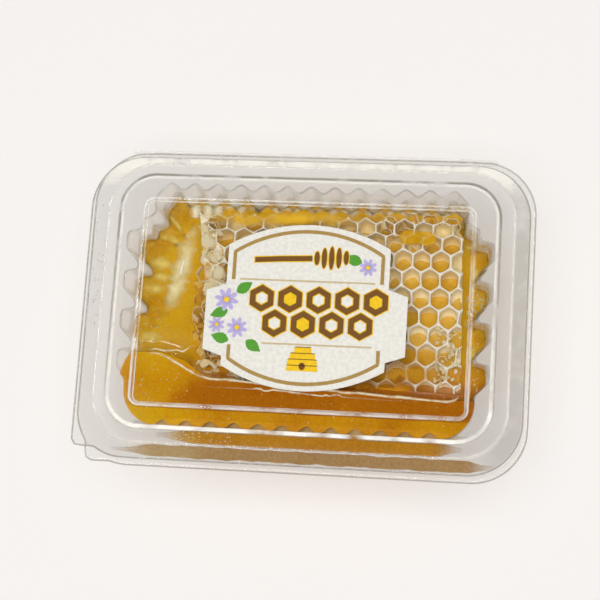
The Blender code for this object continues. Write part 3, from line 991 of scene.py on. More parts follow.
def honeyRings(shape):
    into = shape["intoWall"]
    tray, lid = trayShape, lidShape
    under = lid["sheet"] - into
    foot, edge = [grow(tray["panel"], tray["panelFoot"])], [tray["panel"]]
    floor = tray["floor"] - into
    stepOut, stepIn = [grow(lid["plateau"], shape["lidStep"][0])], [grow(lid["panel"], shape["lidStep"][1])]
    columns = []
    for x, y in rim:
        spine = spinePoint(x, y)
        columns.append((
            (*meetBoxes(*spine, x, y, edge), floor + tray["panelRise"]),
            (*meetBoxes(*spine, x, y, foot), floor),
            (*drawIn(x, y, tray["floorInset"] - into), floor),
            (*drawIn(x, y, tray["footInset"] - into), tray["footTop"]),
            (*drawIn(x, y, -into), tray["flangeTop"]),
            (*drawIn(x, y, -into - shape["topOut"]), lid["plateauZ"] - under),
            (*meetBoxes(*spine, x, y, stepOut), lid["plateauZ"] - under),
            (*meetBoxes(*spine, x, y, stepIn), lid["panelZ"] - under),
        ))
    return list(zip(*columns))


def climb(distance, rise):
    return rise[0] * math.exp(-max(distance, 0.0) / rise[1])


honeyFall = filletPath(honeyShape["fall"], [1.5] * (len(honeyShape["fall"]) - 2), 3)


# Height of the honey's surface, which climbs at the comb and the wall
def honeyHeight(x, behind, shape):
    y = alongLine(shape["contact"], x) + behind
    z = alongLine(honeyFall, behind)
    settled = growth(behind, shape["settled"])
    z += settled * climb(-insideComb(x, y), shape["combClimb"])
    z += settled * climb(-outsideBoxes(x, y, [shape["wall"]]), shape["wallClimb"])
    return z + settled * shape["ripple"] * unevenAt(x, y, 0.11, 5.0)


def honeyTopAt(x, y):
    return honeyHeight(x, y - alongLine(honeyShape["contact"], x), honeyShape)


def honeyLevel(shape):
    (reachX, reachY), (below, _) = shape["reach"], shape["cutter"]
    behinds = [behind for behind, _ in honeyFall if behind < shape["behindFrom"]] + list(range(3, reachY + 1))
    rings = []
    for x in range(-reachX, reachX + 1):
        line = alongLine(shape["contact"], x)
        top = [(x, line + behind, honeyHeight(x, behind, shape)) for behind in behinds]
        rings.append([(x, line + behinds[0], below)] + top + [(x, line + behinds[-1], below)])
    return solidMesh("honeyLevel", [loft(rings)])


def combHole(shape):
    comb, gap = combShape, shape["combGap"]
    below, above = shape["cutter"]
    narrow = combOutline(-comb["draft"] - gap)
    wide = combOutline(-comb["shoulderIn"] - gap)
    return solidMesh("combHole", [loft([
        atHeight(narrow, below), atHeight(narrow, comb["bottom"] + gap),
        atHeight(wide, comb["top"] - comb["shoulder"]), atHeight(wide, above)])])


def makeHoneyPiece(shape):
    mesh = solidMesh("honeyBody", [loft(honeyRings(shape))])
    honey = addPiece("honeyBody", mesh, "tray", "honey", honeyMaterial, "honey")
    cutWith(honey, honeyLevel(shape), "INTERSECT")
    cutWith(honey, combHole(shape), "DIFFERENCE")
    sharpen(honey.data, 40.0)


makeHoneyPiece(honeyShape)
print("honey made")


# Honey pressed out over the front rim

rimHoneyShape = {
    "rimFilm": {"from": -47.0, "to": 48.0, "base": 27.02, "ragged": 0.25,
                "cross": ((-33.4, 27.02), (-36.5, 27.02), (-36.5, 27.45), (-33.4, 27.45))},
    "stepHoney": {"from": -40.0, "to": 47.0, "base": 27.05, "ragged": 0.2,
                  "cross": ((-36.4, 27.05), (-40.75, 27.05), (-40.6, 29.1), (-36.9, 31.1), (-36.4, 31.1))},
    "seepHoney": {"from": -53.0, "to": 56.0, "base": 27.03, "ragged": 0.35,
                  "cross": ((-41.2, 27.03), (-44.6, 27.03), (-44.6, 27.4), (-41.2, 27.4))},
}
rimHoneyLook = {
    "rimFilm": {**honeyLook, "light": (0.96, 0.76, 0.36), "middle": (0.94, 0.70, 0.30),
                "deep": (0.90, 0.62, 0.23), "cloud": 0.80, "density": 12.0},
    "stepHoney": {**honeyLook, "light": (0.70, 0.37, 0.02), "middle": (0.56, 0.25, 0.012),
                  "deep": (0.52, 0.21, 0.008), "cloud": 0.85, "density": 160.0},
    "seepHoney": {**honeyLook, "light": (0.62, 0.43, 0.19), "middle": (0.54, 0.32, 0.11),
                  "deep": (0.50, 0.25, 0.06), "cloud": 0.74, "density": 60.0},
}
rimHoneyEnds = {"stations": 64, "left": 14.0, "right": 9.0, "least": 0.02}


def makeRimHoney(name, shape, look, ends):
    rings, thin = [], []
    middleY = middleOf(shape["cross"])[0]
    for station in range(ends["stations"] + 1):
        x = mix(shape["from"], shape["to"], station / ends["stations"])
        full = min(1.0, (x - shape["from"]) / ends["left"], (shape["to"] - x) / ends["right"])
        full = max(ends["least"], full * full * (3.0 - 2.0 * full))
        rings.append([(x, middleY + (y - middleY) * (0.3 + 0.7 * full)
                       + shape["ragged"] * noise.noise((x * 0.35, y * 0.5, 4.0)),
                       mix(shape["base"], z, full)) for y, z in shape["cross"]])
        thin += [1.0 - full] * len(shape["cross"])
    mesh = solidMesh(name, [loft(rings)], 40.0)
    setValues(mesh, "thin", thin)
    addPiece(name, mesh, "tray", "honey", makeHoney(name, look))


for rimName in rimHoneyShape:
    makeRimHoney(rimName, rimHoneyShape[rimName], rimHoneyLook[rimName], rimHoneyEnds)
print("rim honey made")


# Honey lying in the cells

cellHoneyShape = {
    "front": 0.55,                      # below the comb's top
    "leastInside": (2.6, -0.6),         # at the back and at the front
    "backTo": 24.0,                     # cells further back count as if they were here
    "rightEdge": (44.9, 0.032),         # where the slab's side cuts the cells, and its slant
    "fill": (0.30, 1.05),               # at the back and at the front
    "least": 0.2,
    "unevenness": 0.5,
    "inset": (0.14, 0.6),               # from the cell's walls, and its rounding
    "deeper": (1.0, 0.4),               # below the cell's floor, at its foot and at its lowest surface
    "dip": (0.75, 0.12),                # size and depth of the hollow in its surface
}


def cellHoneyPart(cell, shape):
    cutX, slant = shape["rightEdge"]
    ring = [(min(x, cutX - slant * y), y) for x, y in cellRing(cell, *shape["inset"])]
    lowY, highY = min(y for _, y in ring), max(y for _, y in ring)
    fill = mix(*shape["fill"], towardsFront(cell["y"])) + shape["unevenness"] * (cell["draw"] - 0.5)
    floorZ, topZ = combShape["top"] - cell["depth"], combShape["top"] - shape["front"]
    foot, lowest = shape["deeper"]
    endY = lowY + max(shape["least"], fill) * (highY - lowY)
    slope = (topZ - floorZ) / (endY - lowY)
    share, dip = shape["dip"]
    high = [(x, y, max(floorZ - lowest, topZ - slope * (y - lowY))) for x, y in ring]
    inner = [mixPoints(middleOf(ring), spot, share) for spot in ring]
    inner = [(x, y, max(floorZ - lowest, topZ - slope * (y - lowY)) - dip) for x, y in inner]
    return loft([atHeight(ring, floorZ - foot), high, inner])


def makeCellHoney(shape):
    parts = []
    for cell in cells:
        least = mix(*shape["leastInside"], towardsFront(cell["y"]))
        if not cell["crushed"] and insideComb(cell["x"], min(cell["y"], shape["backTo"])) >= least:
            parts.append(cellHoneyPart(cell, shape))
    addPiece("cellHoney", solidMesh("cellHoney", parts, 60.0), "tray", "honey", cellHoneyMaterial)


cellHoneyMaterial = makeHoney("cellHoneyAmber", {**honeyLook, "density": 260.0, "cloud": 0.5})
makeCellHoney(cellHoneyShape)


# Pool over broken cells at the back

poolShape = {
    "spots": ((29.2, 22.8, 3.3, 2.2), (33.6, 22.5, 3.4, 2.1)),  # x, y, half sizes
    "levels": ((0.0, 23.2), (0.0, 24.13), (0.35, 24.48)),  # inset and height
    "lower": 0.06,                      # the second spot's top is this much lower
    "wobble": 0.22,
    "sides": 40,
}


def makePool(shape):
    parts = []
    for number, (centreX, centreY, halfX, halfY) in enumerate(shape["spots"]):
        rings = []
        for level, (inset, z) in enumerate(shape["levels"]):
            z -= shape["lower"] * number if level == 2 else 0.0
            ring = []
            for across, along in roundSteps(shape["sides"]):
                wobble = 1.0 + shape["wobble"] * unevenAt(across, along, 2.0, number + 0.5)
                ring.append((centreX + (halfX - inset) * wobble * across,
                             centreY + (halfY - inset) * wobble * along, z))
            rings.append(ring)
        parts.append(loft(rings))
    addPiece("cellPool", solidMesh("cellPool", parts, 60.0), "tray", "honey", cellHoneyMaterial)


makePool(poolShape)
print("cell honey made")


# Broken cell walls and crumbs of wax

flakeShape = {
    "radius": 2.9,
    "thickness": 0.24,
    "height": (0.9, 2.6),
    "tilt": 55.0,
    "midReach": 0.87,                   # of the radius, half way along a side
    "taper": 0.7,
}
flakeFields = {
    "crushedLeft": {"count": 46, "x": (-33.0, -17.5), "y": (-20.0, 25.5), "z": (23.2, 24.9), "inside": 0.6},
    "brokenRight": {"count": 8, "x": (38.6, 45.0), "y": (-20.5, -4.5), "z": (23.9, 24.8), "inside": 0.4,
                    "scale": 0.55},
    "besideComb": {"count": 12, "x": (-33.5, -28.0), "y": (-14.0, 8.0), "z": (19.5, 23.0), "inside": -9.0},
    "frontLeft": {"count": 9, "x": (-30.0, -20.0), "y": (-21.0, -11.0), "z": (22.5, 24.2), "inside": -9.0},
    "brokenBack": {"count": 9, "x": (22.0, 43.0), "y": (24.6, 27.6), "z": (22.8, 24.2), "inside": 0.4},
}
lumpFields = {
    "crushedLeft": {"count": 60, "x": (-33.5, -17.5), "y": (-21.0, 26.0), "z": (22.9, 24.3),
                    "size": (0.8, 2.3)},
    "besideComb": {"count": 26, "x": (-33.5, -27.0), "y": (-17.0, 8.0), "z": (17.5, 22.5), "size": (0.7, 1.9),
                   "inside": -9.0},
    "brokenRight": {"count": 60, "x": (38.0, 46.0), "y": (-20.5, -3.0), "z": (23.9, 24.6),
                    "size": (0.2, 0.7)},
    "frontLeft": {"count": 34, "x": (-30.0, -19.5), "y": (-21.5, -11.0), "z": (21.5, 24.4),
                  "size": (0.6, 1.6), "inside": -9.0},
    "strayFront": {"count": 12, "x": (-30.0, 30.0), "y": (-22.5, -21.0), "z": (23.8, 24.4),
                   "size": (0.2, 0.6)},
}

crumbShape = {"flat": 0.6, "rough": 0.9}


def placeIn(field):
    for _ in range(60):
        x, y = random.uniform(*field["x"]), random.uniform(*field["y"])
        fits = field["x"][0] > 0.0 or isCrushed(x, y)
        if fits and insideComb(x, y) > field.get("inside", 0.8):
            return Vector((x, y, random.uniform(*field["z"])))
    return Vector((x, y, field["z"][0]))


# One wall fragment: a few sides of a cell, as a bent strip
def flakePart(shape, place, scale):
    sides = random.randint(1, 4)
    first = random.randint(0, 5)
    height = random.uniform(*shape["height"]) * scale
    turn = Matrix.Rotation(math.radians(random.uniform(-shape["tilt"], shape["tilt"])), 3,
                           Vector((random.uniform(-1, 1), random.uniform(-1, 1), 0.2)).normalized())
    radius = shape["radius"] * random.uniform(0.75, 1.05) * scale
    half, taper = shape["thickness"] / 2, shape["taper"]
    rings = []
    for corner in range(2 * sides + 1):
        angle = math.radians(60.0 * (first + corner / 2))
        reach = radius if corner % 2 == 0 else radius * shape["midReach"]
        outward = Vector((math.cos(angle), math.sin(angle), 0.0))
        tall = height * (1.0 + 0.5 * noise.noise((place.x + corner, place.y, 8.0)))
        section = ((half, 0.0), (half * taper, tall), (-half * taper, tall), (-half, 0.0))
        rings.append([tuple(place + turn @ (outward * (reach + away) + Vector((0.0, 0.0, z - 0.5 * tall))))
                      for away, z in section])
    return loft(rings)


def ballPart(place, size, flat, rough):
    rings = []
    for ring in range(1, 5):
        lift = math.pi * ring / 5
        ways = [Vector((math.sin(lift) * across, math.sin(lift) * along, flat * math.cos(lift)))
                for across, along in roundSteps(8)]
        rings.append([tuple(place + way * (size * (1.0 + rough * noise.noise(way * 1.7 + place))))
                      for way in ways])
    return loft(rings)


def makeFlakes(shape, crumb):
    random.seed(23)
    parts = [flakePart(shape, placeIn(field), field.get("scale", 1.0))
             for field in flakeFields.values() for _ in range(field["count"])]
    parts += [ballPart(placeIn(field), random.uniform(*field["size"]), crumb["flat"], crumb["rough"])
              for field in lumpFields.values() for _ in range(field["count"])]
    addPiece("waxFlakes", solidMesh("waxFlakes", parts, 50.0), "tray", "beeswax", flakeMaterial)


makeFlakes(flakeShape, crumbShape)
print("flakes made")


# Bubbles, foam and pale films in the honey

# The bubbles' cream is partly the paleness of foam and partly a painted highlight standing in for their
# glints; the dew drops' faint white is a painted highlight too
foamGlintLook = {
    "colour": (1.0, 0.88, 0.52),
    "solid": 0.60,
    "gloss": 0.10,
    "roughness": 0.06,
    "waveSize": 500.0,
    "waveHeight": 0.1,
}
dropLook = {**foamGlintLook, "colour": (0.95, 0.95, 0.95), "solid": 0.08, "roughness": 0.04}
bubbleFields = {
    "rightLobe": {"count": 110, "x": (44.9, 52.6), "y": (-2.0, 8.5), "size": (0.18, 0.55), "under": None},
    "rightLow": {"count": 40, "x": (48.3, 52.4), "y": (-19.5, -5.0), "size": (0.15, 0.42), "under": None},
    "leftLow": {"count": 55, "x": (-53.0, -43.5), "y": (-11.0, 2.5), "size": (0.12, 0.36), "under": None},
    "underLid": {"count": 36, "x": (-45.5, -31.0), "y": (-29.0, -16.5), "size": (0.08, 0.24), "under": 29.46},
    "underLidRight": {"count": 30, "x": (-30.0, 44.0), "y": (-29.0, -23.5), "size": (0.06, 0.18),
                      "under": 29.46},
    "frontFoam": {"count": 70, "x": (-36.0, -18.0), "y": (-40.0, -36.8), "size": (0.10, 0.28),
                  "under": "step"},
    "frontShelf": {"count": 45, "x": (-44.0, 44.0), "y": (-35.2, -30.6), "size": (0.08, 0.24),
                   "under": 31.08},
}
dropField = {"count": 34, "x": (-63.0, -59.8), "y": (-8.0, 30.0), "size": (0.12, 0.32), "z": 27.35}
stepFoam = {"low": 29.15, "rise": 2.0, "zone": (-40.6, 3.7)}  # the foam follows the lid's step
wetEdge = [drawIn(x, y, 2.7) for x, y in rim]


# True where the honey's surface reaches, a little inside the fluted wall
def isWet(x, y):
    wet = False
    for (startX, startY), (endX, endY) in zip(wetEdge, wetEdge[1:] + wetEdge[:1]):
        if (startY > y) != (endY > y) and x < startX + (y - startY) * (endX - startX) / (endY - startY):
            wet = not wet
    return wet


def bubbleHeight(x, y, under):
    if under is None:
        return honeyTopAt(x, y)
    if under == "step":
        return stepFoam["low"] + stepFoam["rise"] * growth(y, stepFoam["zone"])
    return under


def makeBubbleMaterial(name, look):
    material, tree = newMaterial(name)
    skin = mixShaders(tree, look["solid"], shaderOf(tree, "BsdfTransparent"),
                      shaderOf(tree, "BsdfDiffuse", {"Color": look["colour"]}))
    addNode(tree, "OutputMaterial", {"Surface": glossOver(tree, skin, look)})
    return material


def makeBubbles(name, spots, slotName, material):
    mesh = solidMesh(name, [ballPart(place, size, 0.8, 0.0) for place, size in spots])
    addPiece(name, mesh, "tray", slotName, material)


def bubbleSpots():
    random.seed(31)
    spots = []
    for field in bubbleFields.values():
        for _ in range(field["count"]):
            x, y = random.uniform(*field["x"]), random.uniform(*field["y"])
            size = mix(*field["size"], random.random() ** 2)
            floating = field["under"] is None
            if floating and (insideComb(x, y) > -0.3 or not isWet(x, y)):
                continue
            lift = 0.1 * size if floating else -0.4 * size
            spots.append((Vector((x, y, bubbleHeight(x, y, field["under"]) + lift)), size))
    return spots


def dropSpots(field):
    random.seed(37)
    return [(Vector((random.uniform(*field["x"]), random.uniform(*field["y"]), field["z"])),
             random.uniform(*field["size"])) for _ in range(field["count"])]


makeBubbles("honeyBubbles", bubbleSpots(), "honey", makeBubbleMaterial("honeyFoamGlint", foamGlintLook))
makeBubbles("dewDrops", dropSpots(dropField), "clear_tray", makeBubbleMaterial("dewDrops", dropLook))
print("bubbles made")

# Each line lies at its height z, or on the honey's surface where z is None
filmLines = {
    # Painted highlight: thin cream lines where the honey's meniscus meets the lid, standing in for its glint
    "contactGlint": {"paths": [((-44.6, -15.6), (-43.5, -14.9), (-39.9, -15.7), (-35.9, -17.3), (-31.9, -19.7),
                               (-26.8, -21.8), (-20.1, -21.9), (-8.0, -22.7), (14.0, -23.9), (30.0, -24.6),
                               (42.0, -25.3), (44.3, -25.0), (45.4, -23.6), (44.6, -22.9))],
                    "z": 29.46, "width": 1.0, "wander": 0.35, "look": "paintedGlintLine"},
    "contactGlintMore": {"paths": [((-46.0, -13.3), (-42.0, -14.0), (-39.1, -14.3), (-33.3, -14.0),
                               (-29.5, -12.4)),
                              ((-30.0, -24.2), (-10.0, -24.4), (10.0, -25.1), (34.0, -25.9))],
                    "z": 29.48, "width": 0.7, "wander": 0.9, "look": "paintedGlintLine"},
    # Painted highlight: a pale glare streak with a bright core on the honey between the comb and the left
    # wall, standing in for a lamp's reflection
    "paintedGlareStreak": {"paths": [((-35.2, 27.0), (-36.4, 24.2), (-37.6, 20.4), (-39.0, 15.2), (-39.6, 10.4),
                               (-40.2, 6.4), (-41.6, 1.6), (-42.6, -1.6))],
                    "z": None, "lift": 0.12, "width": 6.4, "wander": 0.6, "look": "paintedGlare"},
    "paintedGlareCore": {"paths": [((-38.2, 17.8), (-39.0, 14.8), (-39.4, 12.0), (-39.6, 9.0))],
                   "z": None, "lift": 0.16, "width": 1.3, "wander": 0.2, "look": "paintedGlareBright"},
    "combGlaze": {"paths": [((-14.0, -19.5), (10.0, -18.5), (34.0, -17.5), (44.5, -17.0)),
                            ((14.0, -12.5), (30.0, -12.0), (44.0, -12.5))],
                  "z": 24.9, "width": 8.5, "wander": 0.8, "look": "amberGlaze"},
    "frontGlaze": {"paths": [((-19.5, -22.2), (-4.0, -22.2), (14.0, -22.2), (30.0, -22.2), (45.6, -22.2))],
                   "z": 24.9, "width": 7.0, "wander": 0.3, "look": "deepGlaze"},
    "backGlaze": {"paths": [((-34.2, 26.8), (-20.0, 26.3), (-8.0, 26.5), (6.0, 26.9), (18.0, 27.4))],
                  "z": 24.95, "width": 5.6, "wander": 0.4, "fade": 12.0, "look": "backAmber"},
    "crushGlaze": {"paths": [((-31.5, 20.0), (-29.0, 15.0), (-30.5, 9.0), (-28.5, 4.0)),
                             ((-24.0, 22.5), (-25.5, 17.0), (-23.0, 12.0), (-25.0, 7.0)),
                             ((-29.5, -2.0), (-27.0, -8.0), (-24.5, -14.0), (-20.5, -18.5))],
                   "z": 24.1, "width": 3.0, "wander": 2.2, "look": "amberGlaze"},
}
filmLooks = {
    "paintedGlintLine": {"colour": (0.98, 0.88, 0.60), "solid": 0.9, "fleck": 300.0},
    "paintedGlare": {"colour": (1.0, 0.93, 0.50), "solid": 1.0, "fleck": 110.0},
    "paintedGlareBright": {"colour": (1.0, 0.97, 0.80), "solid": 0.9, "fleck": 160.0},
    "amberGlaze": {"colour": (0.78, 0.38, 0.010), "solid": 0.58, "fleck": 130.0},
    "backAmber": {"colour": (0.90, 0.52, 0.02), "solid": 1.0, "fleck": 110.0},
    "deepGlaze": {"colour": (0.66, 0.27, 0.005), "solid": 1.0, "fleck": 130.0},
    "paleFacet": {"colour": (1.0, 0.82, 0.20), "solid": 0.75, "fleck": 240.0},
    "backFacet": {"colour": (1.0, 0.94, 0.68), "solid": 1.0, "fleck": 120.0},
    "amberFacet": {"colour": (0.80, 0.40, 0.006), "solid": 0.60, "fleck": 240.0},
    "wallHoney": {"colour": (1.0, 0.76, 0.24), "solid": 1.0, "fleck": 150.0},
}
filmPaint = {"uneven": (0.15, 0.6), "roughness": 0.15, "feather": 1.6}
facetShape = {
    "from": 1.6,
    "reach": {"left": 8.5, "back": 4.6, "right": 3.4},
    "endsAt": -12.0,
    "narrowest": 2.2,
    "sides": (-38.0, 44.0),             # left and right of these is the side wall
    "share": {"left": 0.95, "back": 1.35, "right": 0.95},  # of the facet's width
    "fades": {"paleFacet": 3.2, "amberFacet": 3.2, "backFacet": 9.0},
    "wander": 0.5,
    "lifts": {"paleFacet": 0.05, "amberFacet": 0.11, "backFacet": 0.05},
}


# A pale film whose "thin" values fade its edges
def makeFilmMaterial(name, look):
    material, tree = newMaterial(name)
    fleck = rampBetween(tree, noiseOf(tree, look["fleck"], 3.0), filmPaint["uneven"])
    solid = mathOf(tree, "MULTIPLY", mathOf(tree, "SUBTRACT", 1.0, pointValues(tree, "thin")), fleck)
    clear = shaderOf(tree, "BsdfTransparent")
    paint = shaderOf(tree, "BsdfPrincipled",
                     {"Base Color": look["colour"], "Roughness": filmPaint["roughness"]})
    cover = mathOf(tree, "MULTIPLY", solid, look["solid"])
    addNode(tree, "OutputMaterial", {"Surface": mixShaders(tree, cover, clear, paint)})
    return material


filmMaterials = {name: makeFilmMaterial(name, look) for name, look in filmLooks.items()}


def filmPart(path, shape, thin):
    if len(path) > 2:
        path = filletPath(path, [3.0] * (len(path) - 2), 5)
    else:
        path = [mixPoints(*path, step / 8) for step in range(9)]
    across = [lane / 4 for lane in range(-4, 5)]
    points = []
    for index, (x, y, leftX, leftY) in enumerate(sidesteps(path)):
        share = index / (len(path) - 1)
        ends = min(1.0, shape["fade"] * share, shape["fade"] * (1.0 - share))
        half = shape["width"] / 2 * (0.4 + 0.6 * ends) * (1.0 + 0.5 * unevenAt(x, y, 0.8, 2.0))
        drift = shape["wander"] * unevenAt(x, y, 0.4, 6.0)
        for side in across:
            spotX, spotY = x + leftX * (half * side + drift), y + leftY * (half * side + drift)
            z = honeyTopAt(spotX, spotY) + shape["lift"] if shape["z"] is None else shape["z"]
            points.append((spotX, spotY, z))
            thin.append(1.0 - ends * (1.0 - side * side) ** filmPaint["feather"])
    return points, gridFaces(len(path), len(across))


# Films at one height lie a little apart, because films that meet draw dark dashes
def makeFilm(name, shape, material):
    thin, parts = [], []
    widths = shape.get("widths") or [shape["width"]] * len(shape["paths"])
    for number, (path, width) in enumerate(zip(shape["paths"], widths)):
        lift = shape.get("lift", 0.05) + 0.03 * (number % 2)
        parts.append(filmPart(path, {"fade": 6.0, **shape, "width": width, "lift": lift}, thin))
    mesh = meshFrom(name, *joined(parts))
    setValues(mesh, "thin", thin)
    addPiece(name, mesh, "tray", "honey", material)


# The fluted wall shows through the honey as pale and amber stripes by turns
def facetPaths(shape):
    stripes = {name: ([], []) for name in shape["lifts"]}
    for index, knot in enumerate(rimCorners):
        before = rimCorners[index - 1]
        width = math.dist(before, knot)
        x, y = mixPoints(before, knot, 0.5)
        if y < shape["endsAt"] or width < shape["narrowest"]:
            continue
        side = "left" if x < shape["sides"][0] else "right" if x > shape["sides"][1] else "back"
        name = "backFacet" if side == "back" else "amberFacet" if index % 2 else "paleFacet"
        paths, widths = stripes[name]
        paths.append((drawIn(x, y, shape["from"]), drawIn(x, y, shape["from"] + shape["reach"][side])))
        widths.append(width * shape["share"][side])
    return stripes


def makeFacets(shape):
    for name, (paths, widths) in facetPaths(shape).items():
        makeFilm(name, {"paths": paths, "widths": widths, "z": None, "wander": shape["wander"],
                        "fade": shape["fades"][name], "lift": shape["lifts"][name]}, filmMaterials[name])


wallFilmShape = {
    "low": 13.0,
    "high": 20.5,
    "uneven": 1.8,
    "levels": 6,
    "off": 0.14,
    "endsAt": -18.0,
    "rightFrom": 44.0,                  # left of this the wall is clearer
    "rightHigh": 26.0,
    "clearer": 0.15,
}


# Honey clinging to the wall above its level
def makeWallFilm(shape):
    kept = [y > shape["endsAt"] for _, y in rim]
    line = rim[len(kept) - kept[::-1].index(False):] + rim[:kept.index(False)]
    top, foot, lanes = trayShape["flangeTop"], trayShape["footTop"], shape["levels"] + 1
    points, thin = [], []
    for x, y in line:
        high = shape["rightHigh"] if x > shape["rightFrom"] else shape["high"]
        high += shape["uneven"] * unevenAt(x, y, 0.35, 9.0)
        for level in range(lanes):
            share = level / shape["levels"]
            z = mix(shape["low"], high, share)
            inset = trayShape["footInset"] * (top - z) / (top - foot)
            points.append((*drawIn(x, y, inset + shape["off"]), z))
            patch = 0.15 + 0.7 * noise.noise((x * 0.5, y * 0.5, z * 0.4))
            patch += shape["clearer"] if x < shape["rightFrom"] else 0.0
            thin.append(clamp(share ** 3 + patch))
    mesh = meshFrom("wallHoney", points, gridFaces(len(line), lanes))
    setValues(mesh, "thin", thin)
    addPiece("wallHoney", mesh, "tray", "honey", filmMaterials["wallHoney"])


for filmName, filmShape in filmLines.items():
    makeFilm(filmName, filmShape, filmMaterials[filmShape["look"]])
makeFacets(facetShape)
makeWallFilm(wallFilmShape)
print("films made")


# Label

labelShape = {
    "centre": (0.9, -0.2),
    "halfX": 23.4,
    "shoulderY": 17.6,
    "crownY": 24.1,
    "wingX": 29.0,
    "wingHighY": 6.0,
    "wingLowY": -15.0,
    "wingSlope": 1.9,
    "bottom": 29.74,
    "thickness": 0.25,
    "arcSteps": 20,
}


# The curved top of the label, and of the frame printed on it
def arch(halfX, shoulder, crown, steps):
    rise = crown - shoulder
    radius = (halfX ** 2 + rise ** 2) / (2 * rise)
    reach = math.asin(halfX / radius)
    angles = [reach - 2 * reach * step / steps for step in range(steps + 1)]
    return [(radius * math.sin(angle), crown - radius + radius * math.cos(angle)) for angle in angles]


def labelOutline(shape):
    halfX, wing, slope = shape["halfX"], shape["wingX"], shape["wingSlope"]
    top = arch(halfX, shape["shoulderY"], shape["crownY"], shape["arcSteps"])
    left = [(-halfX, shape["wingHighY"]), (-wing, shape["wingHighY"] - slope),
            (-wing, shape["wingLowY"] + slope), (-halfX, shape["wingLowY"])]
    bottom = [(-x, -y) for x, y in top]
    right = [(-x, y) for x, y in reversed(left)]
    centreX, centreY = shape["centre"]
    return [(x + centreX, y + centreY) for x, y in top + left + bottom + right]


def makeLabel(shape):
    outline = labelOutline(shape)
    top = shape["bottom"] + shape["thickness"]
    mesh = solidMesh("labelSheet", [loft([atHeight(outline, shape["bottom"]), atHeight(outline, top)])], 30.0)
    addPiece("labelSheet", mesh, "lid", "label_paper", paperMaterial, "label")


makeLabel(labelShape)
print("label made")


# Print on the label

printShape = {
    "lift": 0.02,
    "frameIn": 2.0,
    "frameWidth": 1.05,
    "frameEnds": (7.4, 11.6),           # above and below the middle
    "frameShoulder": 0.6,
    "archSteps": 24,
    "rules": ((7.6, -19.5, 19.5), (-10.8, -12.0, 19.5)),
    "ruleWidth": 0.5,
    "hexRadius": 4.3,
    "hexSpots": ((-12.8, 2.2), (-4.6, 2.2), (3.6, 2.2), (11.8, 2.2), (20.0, 2.2), (-8.7, -4.95),
                 (-0.5, -4.95), (7.7, -4.95), (15.9, -4.95)),
    "filled": (1, 4, 6),
    "flowers": ((-23.0, 1.4, 3.4), (-19.4, -6.6, 3.0), (-25.4, -6.0, 2.4), (17.2, 12.2, 2.6)),
    "leaves": ((-20.2, 3.6, 35.0), (-21.6, -10.4, 165.0), (-16.6, -10.2, -35.0), (-22.4, -1.6, 200.0),
               (15.4, 13.4, 160.0)),
    "petals": 8,
    "handle": ((-15.5, 13.4), (-8.0, 13.9), (1.1, 14.3)),
    "handleWidth": 1.5,
    "ribs": (2.0, 3.0, 3.4, 3.0, 2.0),
    "ribHalf": 0.75,
    "head": (2.4, 14.4),                # the first rib's place
    "ribStep": (2.1, 0.1),
    "hive": (4.6, 4.4, 3.8, 2.6),       # half width of each layer
    "hiveFoot": -18.4,
    "hiveLayer": 1.75,
}
printColours = {
    "labelPale": (0.62, 0.50, 0.28),
    "labelGold": (0.43, 0.27, 0.075),
    "labelGreen": (0.10, 0.36, 0.035),
    "labelYellow": (0.93, 0.60, 0.012),
    "labelBrown": (0.20, 0.085, 0.015),
    "labelLilac": (0.53, 0.46, 0.78),
}


def hexagon(centreX, centreY, radius):
    return [(centreX + radius * math.sin(math.radians(60.0 * corner)),
             centreY + radius * math.cos(math.radians(60.0 * corner))) for corner in range(6)]


def hoop(centreX, centreY, outer, inner):
    first, second = hexagon(centreX, centreY, outer), hexagon(centreX, centreY, inner)
    return [[first[corner], first[(corner + 1) % 6], second[(corner + 1) % 6], second[corner]]
            for corner in range(6)]


def oval(centreX, centreY, halfX, halfY, degrees=0.0, sides=24):
    turn = math.radians(degrees)
    return [(centreX + halfX * across * math.cos(turn) - halfY * along * math.sin(turn),
             centreY + halfX * across * math.sin(turn) + halfY * along * math.cos(turn))
            for across, along in roundSteps(sides)]


def ribbon(path, width):
    sides = [((x + leftX * width / 2, y + leftY * width / 2), (x - leftX * width / 2, y - leftY * width / 2))
             for x, y, leftX, leftY in sidesteps(path)]
    return [[first[0], second[0], second[1], first[1]] for first, second in zip(sides, sides[1:])]


def framePath(shape, end):
    halfX, crown = labelShape["halfX"] - shape["frameIn"], labelShape["crownY"] - shape["frameIn"]
    shoulder = labelShape["shoulderY"] - shape["frameIn"]
    low = shoulder - shape["frameShoulder"]
    return [(halfX, end), (halfX, low), *arch(halfX, shoulder, crown, shape["archSteps"]), (-halfX, low),
            (-halfX, end)]


def leaf(x, y, degrees):
    turn, length, width = math.radians(degrees), 5.4, 1.5
    points = []
    for step in range(24):
        share = step / 12
        along = share if share <= 1.0 else 2.0 - share
        wide = width * math.sin(math.pi * along ** 0.8) * (1.0 + 0.12 * (step % 2))
        wide = wide if share <= 1.0 else -wide
        points.append((x + length * along * math.cos(turn) - wide * math.sin(turn),
                       y + length * along * math.sin(turn) + wide * math.cos(turn)))
    return points


# The dipper lies across the label's upper part: a handle, a tip and a ribbed head
def dipper(shape, wider):
    (endX, endY), *rest = shape["handle"]
    (headX, headY), (stepX, stepY) = shape["head"], shape["ribStep"]
    shapes = ribbon([(endX - wider, endY), *rest], shape["handleWidth"] + 2 * wider)
    for rib, tall in enumerate(shape["ribs"]):
        shapes.append(oval(headX + stepX * rib, headY + stepY * rib, shape["ribHalf"] + wider, tall + wider))
    return shapes


